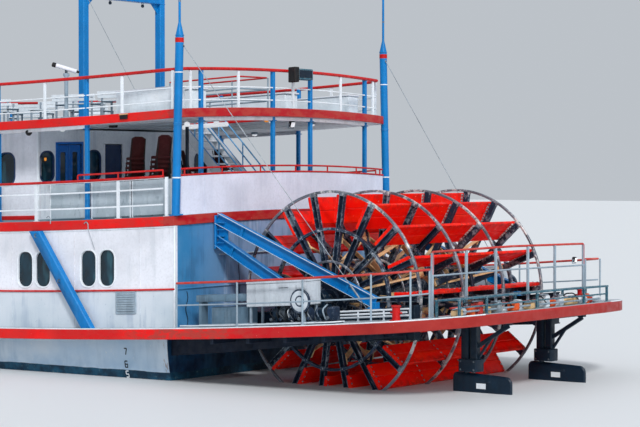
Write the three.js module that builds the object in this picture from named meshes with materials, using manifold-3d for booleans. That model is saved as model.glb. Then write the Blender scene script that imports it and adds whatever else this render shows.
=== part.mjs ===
import * as THREE from "three";
import { mergeVertices } from "three/addons/utils/BufferGeometryUtils.js";
import Module from "manifold-3d";

// A sternwheel excursion paddle boat with three decks. Every length below is the full-size
// boat's, in millimetres, and the finished group is scaled to a half-size model.
// +X points to the bow, +Y to port, +Z up. The origin is amidships on the waterline.
const MODEL_SCALE = 0.5;
const GAP = 1;

// Deck tops and thicknesses for a boat with no sheer. Sheer and camber are added by warp().
const MAIN_TOP = 1165;
const MAIN_THICK = 280;
const MAIN_UNDER = MAIN_TOP - MAIN_THICK;
const SECOND_TOP = 4115;
const SECOND_THICK = 260;
const SECOND_UNDER = SECOND_TOP - SECOND_THICK;
const THIRD_TOP = 6965;
const THIRD_THICK = 240;
const THIRD_UNDER = THIRD_TOP - THIRD_THICK;

// Sheer rises as a parabola from its lowest point, in straight stretches between these knots.
const SHEER_RISE = 2.15e-6;
const SHEER_LOW_X = -1500;
const SHEER_KNOTS = [-22500, -16000, -10500, -5500, 0, 5500, 10500, 16000, 18200, 20000, 22100];
const CAMBER = 130;
const CAMBER_HALF = 5500;
const CAMBER_KNOTS = [-5500, -1800, 1800, 5500];

// Half-beams of the decks and of the saloon: x, half-beam.
const MAIN_PLAN = [
  [-22500, 2600], [-22250, 4000], [-21700, 4900], [-20700, 5400], [-13200, 5500], [-7000, 5800],
  [0, 5950], [5000, 5900], [10000, 5600], [14000, 4700], [17500, 3400], [20000, 2100],
  [21500, 1000], [22100, 250]];
const SECOND_PLAN = [
  [-13740, 4950], [-8000, 5250], [-2000, 5500], [4000, 5500], [9000, 5250], [13000, 4500],
  [15500, 3450], [16500, 2500]];
const THIRD_PLAN = [
  [-13740, 4720], [-8000, 5050], [-2000, 5300], [4000, 5300], [9000, 5000], [12000, 4300],
  [13500, 3600]];
const SALOON_PLAN = [[-7700, 3950], [0, 4050], [8000, 3950], [12500, 3200]];

// The cabins' aft faces bow outwards by AFT_BULGE on the centre line.
const AFT_X = -13740;
const AFT_BULGE = 280;
const AFT_SHARES = [-1, -0.67, -0.33, 0, 0.33, 0.67, 1];
const DECK_LIP = 50;

// Hull stations: x, half-beam at the deck, half-beam at the chine, chine z, bottom z.
const HULL = [
  [-13200, 4600, 4350, -300, -380], [-10000, 4800, 4500, -700, -850],
  [-6000, 5000, 4650, -900, -1100], [-2000, 5150, 4750, -950, -1200],
  [2000, 5150, 4750, -950, -1200], [6000, 5050, 4600, -930, -1200],
  [10000, 4650, 4050, -850, -1180], [13000, 3900, 3150, -700, -1120],
  [16000, 2750, 1950, -450, -1020], [19000, 1350, 700, 0, -780], [20900, 120, 60, 900, 300]];
const HULL_FLAT_SHARE = 0.25;
const KEEL = [[-10500, -400], [-10500, -600], [-9200, -1300], [12500, -1400], [16500, -1000],
  [16500, -600]];
const KEEL_WIDE = 160;

// Cabin walls, and the openings for doors between a sill and a lintel above the deck.
const MAIN_WALL = 100;
const CABIN_FRONT_X = 14500;
const CABIN_FRONT_CLEAR = 60;
const SALOON_AFT_X = -7700;
const SALOON_FRONT_X = 12500;
const SALOON_WALL = 90;
const SILL = 100;
const LINTEL = 2150;
const FRONT_DOOR = [-450, 450];
const DOUBLE_DOOR = [2190, 3190];
const SINGLE_DOOR = [450, 1200];
const PILOT_DOOR = [500, 1200];

// Pilothouse on the third deck, with windows between two heights above the deck.
const HOUSE = { x0: 6000, x1: 9000, half: 1900, high: 2500, wall: 80, eaves: 400, roof: 130 };
const HOUSE_GLASS = [1050, 1950];
const HOUSE_FRONT_GLASS_Y = [-1150, 0, 1150];
const HOUSE_SIDE_GLASS_X = [6800, 8200];
const HOUSE_AFT_GLASS = [-1500, -700];

// Doors in transverse walls: name, wall's aft face x, y range, deck, the leaf's outer face from
// the wall's aft face, hinge side (1 at the larger y) and the way it opens along x.
const LEAF_SET = 20;
const DOORS = [
  ["saloon_door_port", SALOON_AFT_X, [2690, 3190], SECOND_TOP, LEAF_SET, 1, -1],
  ["saloon_door_inner", SALOON_AFT_X, [2190, 2690], SECOND_TOP, LEAF_SET, -1, -1],
  ["saloon_side_door", SALOON_AFT_X, SINGLE_DOOR, SECOND_TOP, LEAF_SET, -1, -1],
  ["front_cabin_door", CABIN_FRONT_X - MAIN_WALL, FRONT_DOOR, MAIN_TOP, MAIN_WALL - LEAF_SET, -1, 1],
  ["pilothouse_door", HOUSE.x0, PILOT_DOOR, THIRD_TOP, LEAF_SET - 2, -1, -1],
];
const DOOR_THICK = 45;
const DOOR_CLEAR = 12;
const HINGE_R = 11;

// Stairs from the second deck to the third.
const STAIRS = { topX: -10100, footX: -12950, y: 250, half: 560, plate: 45, treads: 11, tread: 240 };

// Deck pillars, which go on above the third deck up to its rail.
const PILLAR = 110;
const PILLAR_INSET = 160;
const PILLAR_X = [-10400, -7100, -3800, -500, 2800, 6100, 9400];
const AFT_PILLAR_Y = [3770, 865, -865, -3770];

// Bulwark round the stern of the second deck, with a cap and a guard rail above it.
const BULWARK = 60;
const BULWARK_TOP = 1070;
const BULWARK_HALF = 4640;
const GUARD_RAIL_UP = 170;
const GUARD_RAIL_X = [-10310, -11570, -13300];

// Rails: heights of the middle bars above the deck, and where the posts stand.
const RAIL_TOP = 1070;
const RAIL_INSET = 90;
const SECOND_RAIL_MIDS = [560];
const SECOND_RAIL_X = [-13300, -11570, -8780, -6000, -3200, -400, 2400, 5200, 8000, 10800, 13600,
  15500];
const SECOND_RAIL_FRONT = [[16350, 1250], [16350, 0]];
const FRONT_RAIL_X = 10840;
const RAIL_JOINT = 4;
const THIRD_RAIL_MIDS = [580];
const THIRD_RAIL_X = [-13440, -11700, -8920, -6100, -3300, -500, 2300, 5100, 7900, 10700, 13300];
const THIRD_RAIL_AFT_SHARES = [0.93, 0.5, 0, -0.5, -0.93];

// Posts at the aft corners, each with a cone, a mast and a stay down to the wheel's beam.
const CORNER = { x: AFT_X + 20, y: 4850, r: 112, top: 9260, lean: 170, cone: 380, mast: 12600 };
const STAY = { r: 16, footX: -19080, footY: 3578 };

// Goalpost frame on the third deck.
const KING = { x: -7330, y: 1700, top: 11150, half: 115, shoe: 180, beam: 300 };

// Funnels: radius and height above the deck.
const STACK_AT = [11200, 2300];
const STACK_BASE_R = 540;
const STACK_PROFILE = [[0, 0], [390, 0], [380, 5000], [430, 5150], [640, 5500], [640, 5560],
  [520, 5560], [330, 5200], [330, 4700], [0, 4700]];

// Paddle wheel: each frame has an outer ring, an inner ring, arms and a hub plate.
const AXLE_X = -17500;
const AXLE_Z = 2288;
const WHEEL_R = 2863;
const WHEEL_ARMS = 18;
const ARM_PHASE_DEG = 17.6;
const ARM_WIDE = 150;
const FRAME_THICK = 120;
const FRAME_Y = [-2970, -990, 990, 2970];
const SHAFT_R = 150;
const SHAFT_END_Y = 3640;
const HUB_BORE_R = 154;
const HUB_R = 560;
// Rings of one wheel frame: outer radius, inner radius.
const WHEEL_RINGS = [[WHEEL_R, 2775], [1900, 1800]];
const COLLAR_R = 240;
const COLLAR_WIDE = 90;
const BOARD_IN_R = 2030;
const BOARD_OUT_R = 2765;
const BOARD_THICK = 90;
const BOARD_BITE = 6;

// The wheel well in the main deck, and the beams, bearings and struts that carry the wheel.
const WELL = { aftX: -20550, foreX: -14200, half: 3620 };
const BEAM = { y: 3440, wide: 340, aftLow: 1400, foreLow: 950 };
const BEAM_TOP = [[-20549, 2290], [-18050, 1985], [-16950, 1985], [-14202, 1850]];
const BEARING_SEAT_Z = 1985;
const BEARING_HALF = 260;
const BEARING_BORE_R = 151.8;
const STRUT = { wide: 190, deep: 280, flange: 30, web: 60 };
const STRUT_PLATE = [3500, 4500];
const UPPER_STRUT = { topZ: 4380, footX: -19250, footZ: 2300 };
const LOWER_STRUT = { topZ: 3780, footX: -17120, footZ: 2190 };

// Steering behind the wheel.
const STOCK = { x: -21000, y: 1860, r: 70, hole: 95, bore: 73 };
const BLADE = { fore: 390, aft: 1360, thick: 90, round: 140, top: 500, drop: 60, low: -1000 };
const TILLER = { z: 2190, reach: 560, half: 55 };
const HANGER = { half: 110, secondX: -21260, secondLow: -200, collarHalf: [280, 200],
  collarX: -21130, collarZ: [525, 850] };
// Braces under the deck behind each hanger: x and z of both ends, width.
const HANGER_BRACES = [[-21300, 1150, -22250, 1735, 110], [-21300, 800, -21750, 1430, 80]];
const HANGER_PAD = [-22330, -22150];

// Stern rails on the port side, and the higher rail across the stern ahead of a steering platform.
const STERN_RAIL = [[-14050, 5200], [-16120, 5200], [-18250, 5200], [-20370, 5200], [-21200, 4700],
  [-21200, 3870]];
const STERN_RAIL_TOP = 1180;
const STERN_RAIL_MIDS = [600];
const CATWALK_RAIL_Y = [3750, 2200, 800, -800, -2200, -3750];
const CATWALK_RAIL_X = -21200;
const CATWALK_RAIL_TOP = 1600;
const CATWALK_RAIL_MIDS = [1020];
const PLATFORM = { aft: -22000, fore: -21270, half: 3750, top: 440, thick: 50, leg: 60, mid: 210 };
const PLATFORM_LEG_Y = [3700, 2450, 0, -2450, -3700];

// Gear on the deck.
const CHEST = { aft: -18150, fore: -16220, y0: 4300, y1: 4940, low: 500, high: 1150 };
const CHEST_LEG = { inset: 60, wide: 100 };
const DUCT = { fore: -14300, y0: 4350, y1: 4700, low: 650, high: 830 };
const BOLLARD = { x: -20670, y: 4550, r: 100, high: 340, capR: 125, cap: 40 };
const ENGINE = { aft: -13200, fore: -9500, half: 2600, high: 1500 };
const FENDER = { footX: -11100, topX: -9100, wide: 400, y0: 5170, y1: 5350 };
const CAPSTAN_X = 16900;
const CAPSTAN_PROFILE = [[0, 0], [330, 0], [330, 90], [190, 180], [170, 480], [290, 600], [290, 690],
  [0, 690]];
const JACKSTAFF = { x: 20700, r: 55, topR: 28, high: 3400, ballR: 95 };

const PAINT = {
  white: ["#dfe4ec", 0.45, 0.0],
  hullWhite: ["#d5dde6", 0.5, 0.0],
  red: ["#c8141a", 0.45, 0.0],
  wheelRed: ["#e0230f", 0.5, 0.0],
  blue: ["#1272c4", 0.4, 0.0],
  darkBlue: ["#12395a", 0.5, 0.0],
  grey: ["#a9b4bd", 0.5, 0.1],
  steel: ["#6f7b85", 0.5, 0.6],
  black: ["#16181b", 0.5, 0.1],
  teal: ["#4f8a9c", 0.5, 0.1],
  door: ["#17457f", 0.4, 0.0],
};

const wasm = await Module();
wasm.setup();
const ship = new THREE.Group();

function interpolate(table, x) {
  const i = Math.max(1, table.findIndex((row, n) => n > 0 && x <= row[0]));
  const [a, b] = [table[i - 1], table[i]];
  return a[1] + ((b[1] - a[1]) * (x - a[0])) / (b[0] - a[0]);
}

const SHEER = SHEER_KNOTS.map((x) => [x, SHEER_RISE * (x - SHEER_LOW_X) ** 2]);
const CROWN = CAMBER_KNOTS.map((y) => [y, CAMBER * (1 - (y / CAMBER_HALF) ** 2)]);
const sheer = (x) => interpolate(SHEER, Math.min(SHEER.at(-1)[0], Math.max(SHEER[0][0], x)));
const camber = (y) => (Math.abs(y) > CAMBER_HALF ? 0 : interpolate(CROWN, y));

// Camber grows from nothing on the main deck to its full height under the second deck.
function lift(x, y, z) {
  const share = Math.min(1, Math.max(0, (z - MAIN_TOP) / (SECOND_UNDER - MAIN_TOP)));
  return sheer(x) + share * camber(y);
}

// A closed solid from a geometry, with its faces turned outwards.
function solid(geometry) {
  const bare = geometry.clone();
  bare.deleteAttribute("normal");
  bare.deleteAttribute("uv");
  const merged = mergeVertices(bare, 0.01);
  const triVerts = new Uint32Array(merged.index.array);
  const make = () => new wasm.Manifold(new wasm.Mesh({
    numProp: 3,
    vertProperties: merged.attributes.position.array,
    triVerts,
  }));
  const made = make();
  if (made.volume() > 0) return made;
  for (let i = 0; i < triVerts.length; i += 3) {
    [triVerts[i + 1], triVerts[i + 2]] = [triVerts[i + 2], triVerts[i + 1]];
  }
  return make();
}

const join = (pieces) => pieces.reduce((all, piece) => all.add(piece));
const cut = (body, tools) => tools.reduce((left, tool) => left.subtract(tool), body);

function fromPoints(points, index) {
  const geometry = new THREE.BufferGeometry();
  geometry.setAttribute("position", new THREE.Float32BufferAttribute(points.flat(), 3));
  geometry.setIndex(index);
  return geometry;
}

function geometryOf(manifold) {
  const mesh = manifold.getMesh();
  const geometry = new THREE.BufferGeometry();
  geometry.setAttribute("position", new THREE.BufferAttribute(new Float32Array(mesh.vertProperties), 3));
  geometry.setIndex(new THREE.BufferAttribute(new Uint32Array(mesh.triVerts), 1));
  return geometry;
}

// A skin over rings of points with equal counts, closed by flat ends unless it is a loop.
function skin(rings, loop = false) {
  const count = rings[0].length;
  const index = [];
  for (let i = 0; i < (loop ? rings.length : rings.length - 1); i++) {
    const next = (i + 1) % rings.length;
    for (let j = 0; j < count; j++) {
      const k = (j + 1) % count;
      const [a, b, c, d] = [i * count + j, i * count + k, next * count + j, next * count + k];
      index.push(a, b, d, a, d, c);
    }
  }
  if (!loop) {
    const end = (rings.length - 1) * count;
    for (let j = 1; j < count - 1; j++) {
      index.push(0, j + 1, j);
      index.push(end, end + j, end + j + 1);
    }
  }
  return solid(fromPoints(rings.flat(), index));
}

function box(x0, x1, y0, y1, z0, z1) {
  const geometry = new THREE.BoxGeometry(x1 - x0, y1 - y0, z1 - z0);
  geometry.translate((x0 + x1) / 2, (y0 + y1) / 2, (z0 + z1) / 2);
  return solid(geometry);
}

const upright = (x, y, half, z0, z1) => box(x - half, x + half, y - half, y + half, z0, z1);

// A plan outline raised from z0 to z1.
function prism(points, z0, z1) {
  const shape = new THREE.Shape(points.map(([x, y]) => new THREE.Vector2(x, y)));
  const geometry = new THREE.ExtrudeGeometry(shape, { depth: z1 - z0, bevelEnabled: false });
  geometry.translate(0, 0, z0);
  return solid(geometry);
}

// A side outline in x and z, standing between y0 and y1.
function sidePlate(points, y0, y1) {
  const shape = new THREE.Shape(points.map(([x, z]) => new THREE.Vector2(x, z)));
  const geometry = new THREE.ExtrudeGeometry(shape, { depth: y1 - y0, bevelEnabled: false });
  geometry.rotateX(Math.PI / 2);
  geometry.translate(0, y1, 0);
  return solid(geometry);
}

function drum(radius, x, y, z0, z1, sides = 12, topRadius = radius) {
  const geometry = new THREE.CylinderGeometry(topRadius, radius, z1 - z0, sides);
  geometry.rotateX(Math.PI / 2);
  geometry.translate(x, y, (z0 + z1) / 2);
  return solid(geometry);
}

// A round bar lying along Y.
function crossBar(radius, x, z, y0, y1, sides = 16) {
  const geometry = new THREE.CylinderGeometry(radius, radius, y1 - y0, sides);
  geometry.translate(x, (y0 + y1) / 2, z);
  return solid(geometry);
}

// A turned shape about an upright axis: profile rows are radius, height.
function turned(profile, x, y, z, sides = 16) {
  const geometry = new THREE.LatheGeometry(profile.map(([r, h]) => new THREE.Vector2(r, h)), sides);
  geometry.rotateX(Math.PI / 2);
  geometry.translate(x, y, z);
  return solid(geometry);
}

// A straight bar between two points; its section is a list of [across, up] points.
function bar(from, to, section) {
  const along = new THREE.Vector3(...to).sub(new THREE.Vector3(...from)).normalize();
  const across = new THREE.Vector3(0, 0, 1).cross(along);
  if (across.length() < 0.01) across.set(0, 1, 0);
  across.normalize();
  const up = along.clone().cross(across);
  const ring = ([x, y, z]) => section.map(([s, t]) => [
    x + across.x * s + up.x * t, y + across.y * s + up.y * t, z + across.z * s + up.z * t]);
  const contour = section.map(([s, t]) => new THREE.Vector2(s, t));
  const count = section.length;
  const index = [];
  for (const [a, b, c] of THREE.ShapeUtils.triangulateShape(contour, [])) {
    index.push(a, c, b, count + a, count + b, count + c);
  }
  for (let j = 0; j < count; j++) {
    const k = (j + 1) % count;
    index.push(j, k, count + k, j, count + k, count + j);
  }
  return solid(fromPoints([...ring(from), ...ring(to)], index));
}

const square = (w) => [[-w / 2, -w / 2], [w / 2, -w / 2], [w / 2, w / 2], [-w / 2, w / 2]];
const circle = (radius, count, start = 0) => Array.from({ length: count }, (_, i) => {
  const turn = start + (2 * Math.PI * i) / count;
  return [radius * Math.cos(turn), radius * Math.sin(turn)];
});

// An I section, as [across, up] points.
function girder({ wide, deep, flange, web }) {
  const [w, h, a] = [wide / 2, deep / 2, web / 2];
  return [[-w, -h], [w, -h], [w, -h + flange], [a, -h + flange], [a, h - flange], [w, h - flange],
    [w, h], [-w, h], [-w, h - flange], [-a, h - flange], [-a, -h + flange], [-w, -h + flange]];
}

// A rectangular rail at one height, mitred at each point of its plan path.
function railBar(path, z, wide, deep, loop = false) {
  const last = path.length - 1;
  const rings = path.map(([x, y], i) => {
    const before = loop ? path[(i + last) % path.length] : path[Math.max(0, i - 1)];
    const after = loop ? path[(i + 1) % path.length] : path[Math.min(last, i + 1)];
    const normal = (p, q) => new THREE.Vector2(p[1] - q[1], q[0] - p[0]).normalize();
    const a = i > 0 || loop ? normal(before, [x, y]) : normal([x, y], after);
    const b = i < last || loop ? normal([x, y], after) : a;
    const miter = a.clone().add(b).normalize();
    const reach = wide / 2 / Math.max(0.4, miter.dot(a));
    const [nx, ny] = [miter.x * reach, miter.y * reach];
    return [[x - nx, y - ny, z - deep / 2], [x + nx, y + ny, z - deep / 2],
      [x + nx, y + ny, z + deep / 2], [x - nx, y - ny, z + deep / 2]];
  });
  return skin(rings, loop);
}

// Posts at the stands, with a top rail and middle rails at heights above the deck along the path.
function railing(path, deck, { top = RAIL_TOP, mids, post = 60, loop = false, stands = path }) {
  const posts = stands.map(([x, y]) => upright(x, y, post / 2, deck + GAP, deck + top));
  const bars = mids.map((h) => railBar(path, deck + h, 40, 40, loop));
  return join([railBar(path, deck + top, 84, 60, loop), ...bars, ...posts]);
}

// Splits triangles where one coordinate passes a value, so that a warp can bend them there.
function splitAt(triangles, axis, value) {
  const made = [];
  for (const triangle of triangles) {
    const signs = triangle.map((p) => (Math.abs(p[axis] - value) < 1e-3 ? 0 : Math.sign(p[axis] - value)));
    if (!(signs.includes(1) && signs.includes(-1))) {
      made.push(triangle);
      continue;
    }
    const [low, high] = [[], []];
    for (let i = 0; i < 3; i++) {
      const [p, q] = [triangle[i], triangle[(i + 1) % 3]];
      if (signs[i] <= 0) low.push(p);
      if (signs[i] >= 0) high.push(p);
      if (signs[i] * signs[(i + 1) % 3] < 0) {
        const [a, b] = p[axis] < q[axis] ? [p, q] : [q, p];
        const share = (value - a[axis]) / (b[axis] - a[axis]);
        const mid = a.map((v, n) => (n === axis ? value : v + share * (b[n] - v)));
        low.push(mid);
        high.push(mid);
      }
    }
    for (const ring of [low, high]) {
      for (let i = 1; i < ring.length - 1; i++) made.push([ring[0], ring[i], ring[i + 1]]);
    }
  }
  return made;
}

// Bends a flat-built piece to the boat's sheer and camber.
function warp(manifold) {
  const source = geometryOf(manifold).toNonIndexed().attributes.position.array;
  let triangles = [];
  for (let i = 0; i < source.length; i += 9) {
    triangles.push([0, 3, 6].map((n) => [source[i + n], source[i + n + 1], source[i + n + 2]]));
  }
  for (const x of SHEER_KNOTS) triangles = splitAt(triangles, 0, x);
  for (const y of CAMBER_KNOTS) triangles = splitAt(triangles, 1, y);
  const points = triangles.flat().map(([x, y, z]) => [x, y, z + lift(x, y, z)]);
  const geometry = fromPoints(points, points.map((_, i) => i));
  return mergeVertices(geometry, 0.01);
}

function place(name, geometry, paint) {
  const [color, roughness, metalness] = PAINT[paint];
  const mesh = new THREE.Mesh(geometry, new THREE.MeshStandardMaterial({ color, roughness, metalness }));
  mesh.name = name;
  ship.add(mesh);
}

const bend = (manifold) => solid(warp(manifold));
const bent = (name, manifold, paint) => place(name, warp(manifold), paint);
const rigid = (name, manifold, paint) => place(name, geometryOf(manifold), paint);
const bothSides = (make) => [["port", 1], ["stbd", -1]].forEach(([label, side]) => make(label, side));

// Turns a y range round to the other side of the boat.
const span = (side, y0, y1) => (side > 0 ? [y0, y1] : [-y1, -y0]);
const mirror = (points) => points.map(([x, y]) => [x, -y]);
const aftFace = (half, y) => AFT_X - AFT_BULGE * (1 - (y / half) ** 2);
const aftCurve = (half, out = 0) => AFT_SHARES.map((share) => [
  aftFace(half, share * half) - out, share * half]);

// A deck outline: the bowed aft edge, the port side to the front, and back down to starboard.
function deckOutline(plan) {
  const front = plan.slice(1);
  return [...aftCurve(plan[0][1], DECK_LIP), ...front, ...mirror(front).reverse()];
}

// The hull has a station at each sheer knot too, so that its top edge follows the deck.
function buildHull() {
  const [first, last] = [HULL[0][0], HULL.at(-1)[0]];
  const knots = SHEER_KNOTS.filter((x) => x > first && x < last && !HULL.some((row) => row[0] === x));
  const stations = [...HULL.map((row) => row[0]), ...knots].sort((a, b) => a - b);
  const column = (n) => HULL.map((row) => [row[0], row[n]]);
  const rows = stations.map((x) => {
    const [deckHalf, chineHalf, chineZ, bottomZ] = [1, 2, 3, 4].map((n) => interpolate(column(n), x));
    const topZ = MAIN_UNDER - GAP + sheer(x);
    const flat = chineHalf * HULL_FLAT_SHARE;
    return [[x, -deckHalf, topZ], [x, -chineHalf, chineZ], [x, -flat, bottomZ], [x, flat, bottomZ],
      [x, chineHalf, chineZ], [x, deckHalf, topZ]];
  });
  const keel = sidePlate(KEEL, -KEEL_WIDE / 2, KEEL_WIDE / 2);
  rigid("hull", join([skin(rows), keel]), "hullWhite");
}

function buildMainDeck() {
  const slab = prism([...MAIN_PLAN, ...mirror(MAIN_PLAN).reverse()], MAIN_UNDER, MAIN_TOP);
  const well = box(WELL.aftX, WELL.foreX, -WELL.half, WELL.half, 0, SECOND_TOP);
  const holes = [1, -1].map((side) => drum(STOCK.hole, STOCK.x, side * STOCK.y, 0, SECOND_TOP));
  bent("main_deck", cut(slab, [well, ...holes]), "grey");
}

// The third deck is open over the stairs and notched round the corner posts.
function buildUpperDecks() {
  bent("second_deck", prism(deckOutline(SECOND_PLAN), SECOND_UNDER, SECOND_TOP), "red");
  const third = prism(deckOutline(THIRD_PLAN), THIRD_UNDER, THIRD_TOP);
  const hole = STAIRS.half + 60;
  const hatch = box(STAIRS.topX - 2500, STAIRS.topX, STAIRS.y - hole, STAIRS.y + hole,
    SECOND_TOP, 2 * THIRD_TOP);
  const notches = [1, -1].map((side) => box(CORNER.x - 300, CORNER.x + CORNER.r + 20,
    ...span(side, CORNER.y - 250, CORNER.y + 300), SECOND_TOP, 2 * THIRD_TOP));
  bent("third_deck", cut(third, [hatch, ...notches]), "red");
}

function buildStairs() {
  const { topX, footX, y, half, plate, treads, tread } = STAIRS;
  const [foot, top] = [SECOND_TOP + GAP, THIRD_TOP - GAP];
  const stringer = [[footX, foot], [footX + 280, foot], [topX - 11, top - 190], [topX - 11, top],
    [topX - 170, top], [footX, foot + 190]];
  const plates = [1, -1].map((side) => {
    const [y0, y1] = span(side, half - plate, half);
    return sidePlate(stringer, y + y0, y + y1);
  });
  const steps = Array.from({ length: treads }, (_, i) => {
    const share = (i + 1) / (treads + 1);
    const x = footX + 60 + share * (topX - footX - 60) + 10;
    const z = foot + share * (top - foot);
    return box(x - tread / 2, x + tread / 2, y - half + 20, y + half - 20, z - 40, z);
  });
  bent("stairs", join([...plates, ...steps]), "blue");
}

// One long side wall: the outer face follows the plan, inset from it.
function sideWall(plan, inset, thick, x0, x1, z0, z1, side) {
  const inside = plan.filter(([x]) => x > x0 && x < x1);
  const outer = [[x0, interpolate(plan, x0)], ...inside, [x1, interpolate(plan, x1)]]
    .map(([x, half]) => [x, side * (half - inset)]);
  const inner = outer.map(([x, y]) => [x, y - side * thick]).reverse();
  return prism([...outer, ...inner], z0, z1);
}

const doorway = (x, y0, y1, deck) => box(x - 400, x + 400, y0, y1, deck + SILL, deck + LINTEL);

function buildMainCabin() {
  const [z0, z1] = [MAIN_TOP + GAP, SECOND_UNDER - GAP];
  bothSides((label, side) => bent(`main_cabin_${label}_wall`,
    sideWall(SECOND_PLAN, DECK_LIP, MAIN_WALL, AFT_X, CABIN_FRONT_X, z0, z1, side), "white"));
  const half = SECOND_PLAN[0][1] - DECK_LIP - MAIN_WALL - GAP;
  const inner = aftCurve(half, -MAIN_WALL).reverse();
  bent("main_cabin_aft_wall", prism([...aftCurve(half), ...inner], z0, z1), "white");
  const frontHalf = interpolate(SECOND_PLAN, CABIN_FRONT_X) - DECK_LIP - MAIN_WALL - CABIN_FRONT_CLEAR;
  const front = box(CABIN_FRONT_X - MAIN_WALL, CABIN_FRONT_X, -frontHalf, frontHalf, z0, z1);
  bent("main_cabin_front_wall", cut(front, [doorway(CABIN_FRONT_X, ...FRONT_DOOR, MAIN_TOP)]), "white");
}

function buildSaloon() {
  const [z0, z1] = [SECOND_TOP + GAP, THIRD_UNDER - GAP];
  bothSides((label, side) => bent(`saloon_${label}_wall`,
    sideWall(SALOON_PLAN, 0, SALOON_WALL, SALOON_AFT_X, SALOON_FRONT_X, z0, z1, side), "white"));
  const half = SALOON_PLAN[0][1] - SALOON_WALL - GAP;
  const aft = box(SALOON_AFT_X, SALOON_AFT_X + SALOON_WALL, -half, half, z0, z1);
  const ways = [DOUBLE_DOOR, SINGLE_DOOR].map((way) => doorway(SALOON_AFT_X, ...way, SECOND_TOP));
  bent("saloon_aft_wall", cut(aft, ways), "white");
  const frontHalf = interpolate(SALOON_PLAN, SALOON_FRONT_X) - SALOON_WALL - 20 * GAP;
  bent("saloon_front_wall",
    box(SALOON_FRONT_X - SALOON_WALL, SALOON_FRONT_X, -frontHalf, frontHalf, z0, z1), "white");
}

// A rigid leaf standing clear of its opening, with a hinge barrel along its outer edge.
function buildDoors() {
  for (const [name, wallX, [y0, y1], deck, set, hingeSide, opens] of DOORS) {
    const face = wallX + set;
    const [low, high] = [SILL, LINTEL].map((z) => deck + z + lift(face, (y0 + y1) / 2, deck + z));
    const [z0, z1] = [low + 2 * DOOR_CLEAR, high - 2 * DOOR_CLEAR];
    const [x0, x1] = opens < 0 ? [face, face + DOOR_THICK] : [face - DOOR_THICK, face];
    const leaf = box(x0, x1, y0 + DOOR_CLEAR, y1 - DOOR_CLEAR, z0, z1);
    const hingeY = hingeSide > 0 ? y1 - DOOR_CLEAR : y0 + DOOR_CLEAR;
    rigid(name, join([leaf, drum(HINGE_R, face, hingeY, z0, z1, 8)]), "door");
  }
}

const pillarLine = (side) => PILLAR_X.map((x) => [x, side * (interpolate(THIRD_PLAN, x) - PILLAR_INSET)]);
const aftPillarLine = () => AFT_PILLAR_Y.map((y) => [aftFace(THIRD_PLAN[0][1], y) + PILLAR_INSET, y]);

// Pillars between the second and third decks, joined under the third by a beam.
function pillars(line) {
  const [z0, z1] = [SECOND_TOP + GAP, THIRD_UNDER - GAP];
  const posts = line.map(([x, y]) => upright(x, y, PILLAR / 2, z0, z1));
  return join([railBar(line, z1 - 50, 80, 100), ...posts]);
}

function buildPillars() {
  bothSides((label, side) => bent(`pillars_${label}`, pillars(pillarLine(side)), "blue"));
  bent("pillars_aft", pillars(aftPillarLine()), "blue");
}

function buildAftBulwark() {
  const inner = aftCurve(BULWARK_HALF, -BULWARK).reverse();
  const top = SECOND_TOP + BULWARK_TOP;
  const panel = prism([...aftCurve(BULWARK_HALF), ...inner], SECOND_TOP + GAP, top);
  const middle = aftCurve(BULWARK_HALF, -BULWARK / 2);
  const cap = railBar(middle, top, 90, 50);
  const rail = railBar(middle, top + GUARD_RAIL_UP, 50, 50);
  const stubs = middle.map(([x, y]) => upright(x, y, 20, top - 40, top + GUARD_RAIL_UP));
  bent("aft_bulwark", join([panel, cap, rail, ...stubs]), "white");
}

const edge = (plan, inset, side) => (x) => [x, side * (interpolate(plan, x) - inset)];

// The second deck's rail is in three lengths: one on each side and one round the front.
function buildSecondRails() {
  const mids = SECOND_RAIL_MIDS;
  bothSides((label, side) => {
    const line = edge(SECOND_PLAN, RAIL_INSET, side);
    const stands = SECOND_RAIL_X.filter((x) => x < FRONT_RAIL_X).map(line);
    const rail = railing([...stands, line(FRONT_RAIL_X)], SECOND_TOP, { mids, stands });
    const guardLine = GUARD_RAIL_X.map(line);
    const guardTop = SECOND_TOP + RAIL_TOP + GUARD_RAIL_UP;
    const guard = [railBar(guardLine, guardTop, 50, 50),
      ...guardLine.map(([x, y]) => upright(x, y, 20, SECOND_TOP + RAIL_TOP - 20, guardTop))];
    bent(`second_deck_rail_${label}`, join([rail, ...guard]), "grey");
  });
  const line = edge(SECOND_PLAN, RAIL_INSET, 1);
  const port = [...SECOND_RAIL_X.filter((x) => x > FRONT_RAIL_X).map(line), ...SECOND_RAIL_FRONT];
  const stands = [...port, ...mirror(port.slice(0, -1)).reverse()];
  const start = [line(FRONT_RAIL_X + RAIL_JOINT)];
  const path = [...start, ...stands, ...mirror(start)];
  bent("second_deck_rail_front", railing(path, SECOND_TOP, { mids, stands }), "grey");
}

function buildThirdRail() {
  const half = THIRD_PLAN[0][1];
  const aft = THIRD_RAIL_AFT_SHARES.map((share) => [
    aftFace(half, share * half) + RAIL_INSET + 30, share * half]);
  const port = THIRD_RAIL_X.map(edge(THIRD_PLAN, RAIL_INSET, 1));
  port[0] = [THIRD_RAIL_X[0], CORNER.y - 290];
  const path = [...port.slice().reverse(), ...aft, ...mirror(port)];
  const rail = railing(path, THIRD_TOP, { mids: THIRD_RAIL_MIDS, loop: true });
  const onRail = [...[1, -1].flatMap((side) => PILLAR_X.map(edge(THIRD_PLAN, PILLAR_INSET - 25, side))),
    ...aftPillarLine()];
  const posts = onRail.map(([x, y]) => upright(x, y, PILLAR / 2, THIRD_TOP + GAP, THIRD_TOP + RAIL_TOP));
  bent("third_deck_rail", join([rail, ...posts]), "grey");
}

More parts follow.
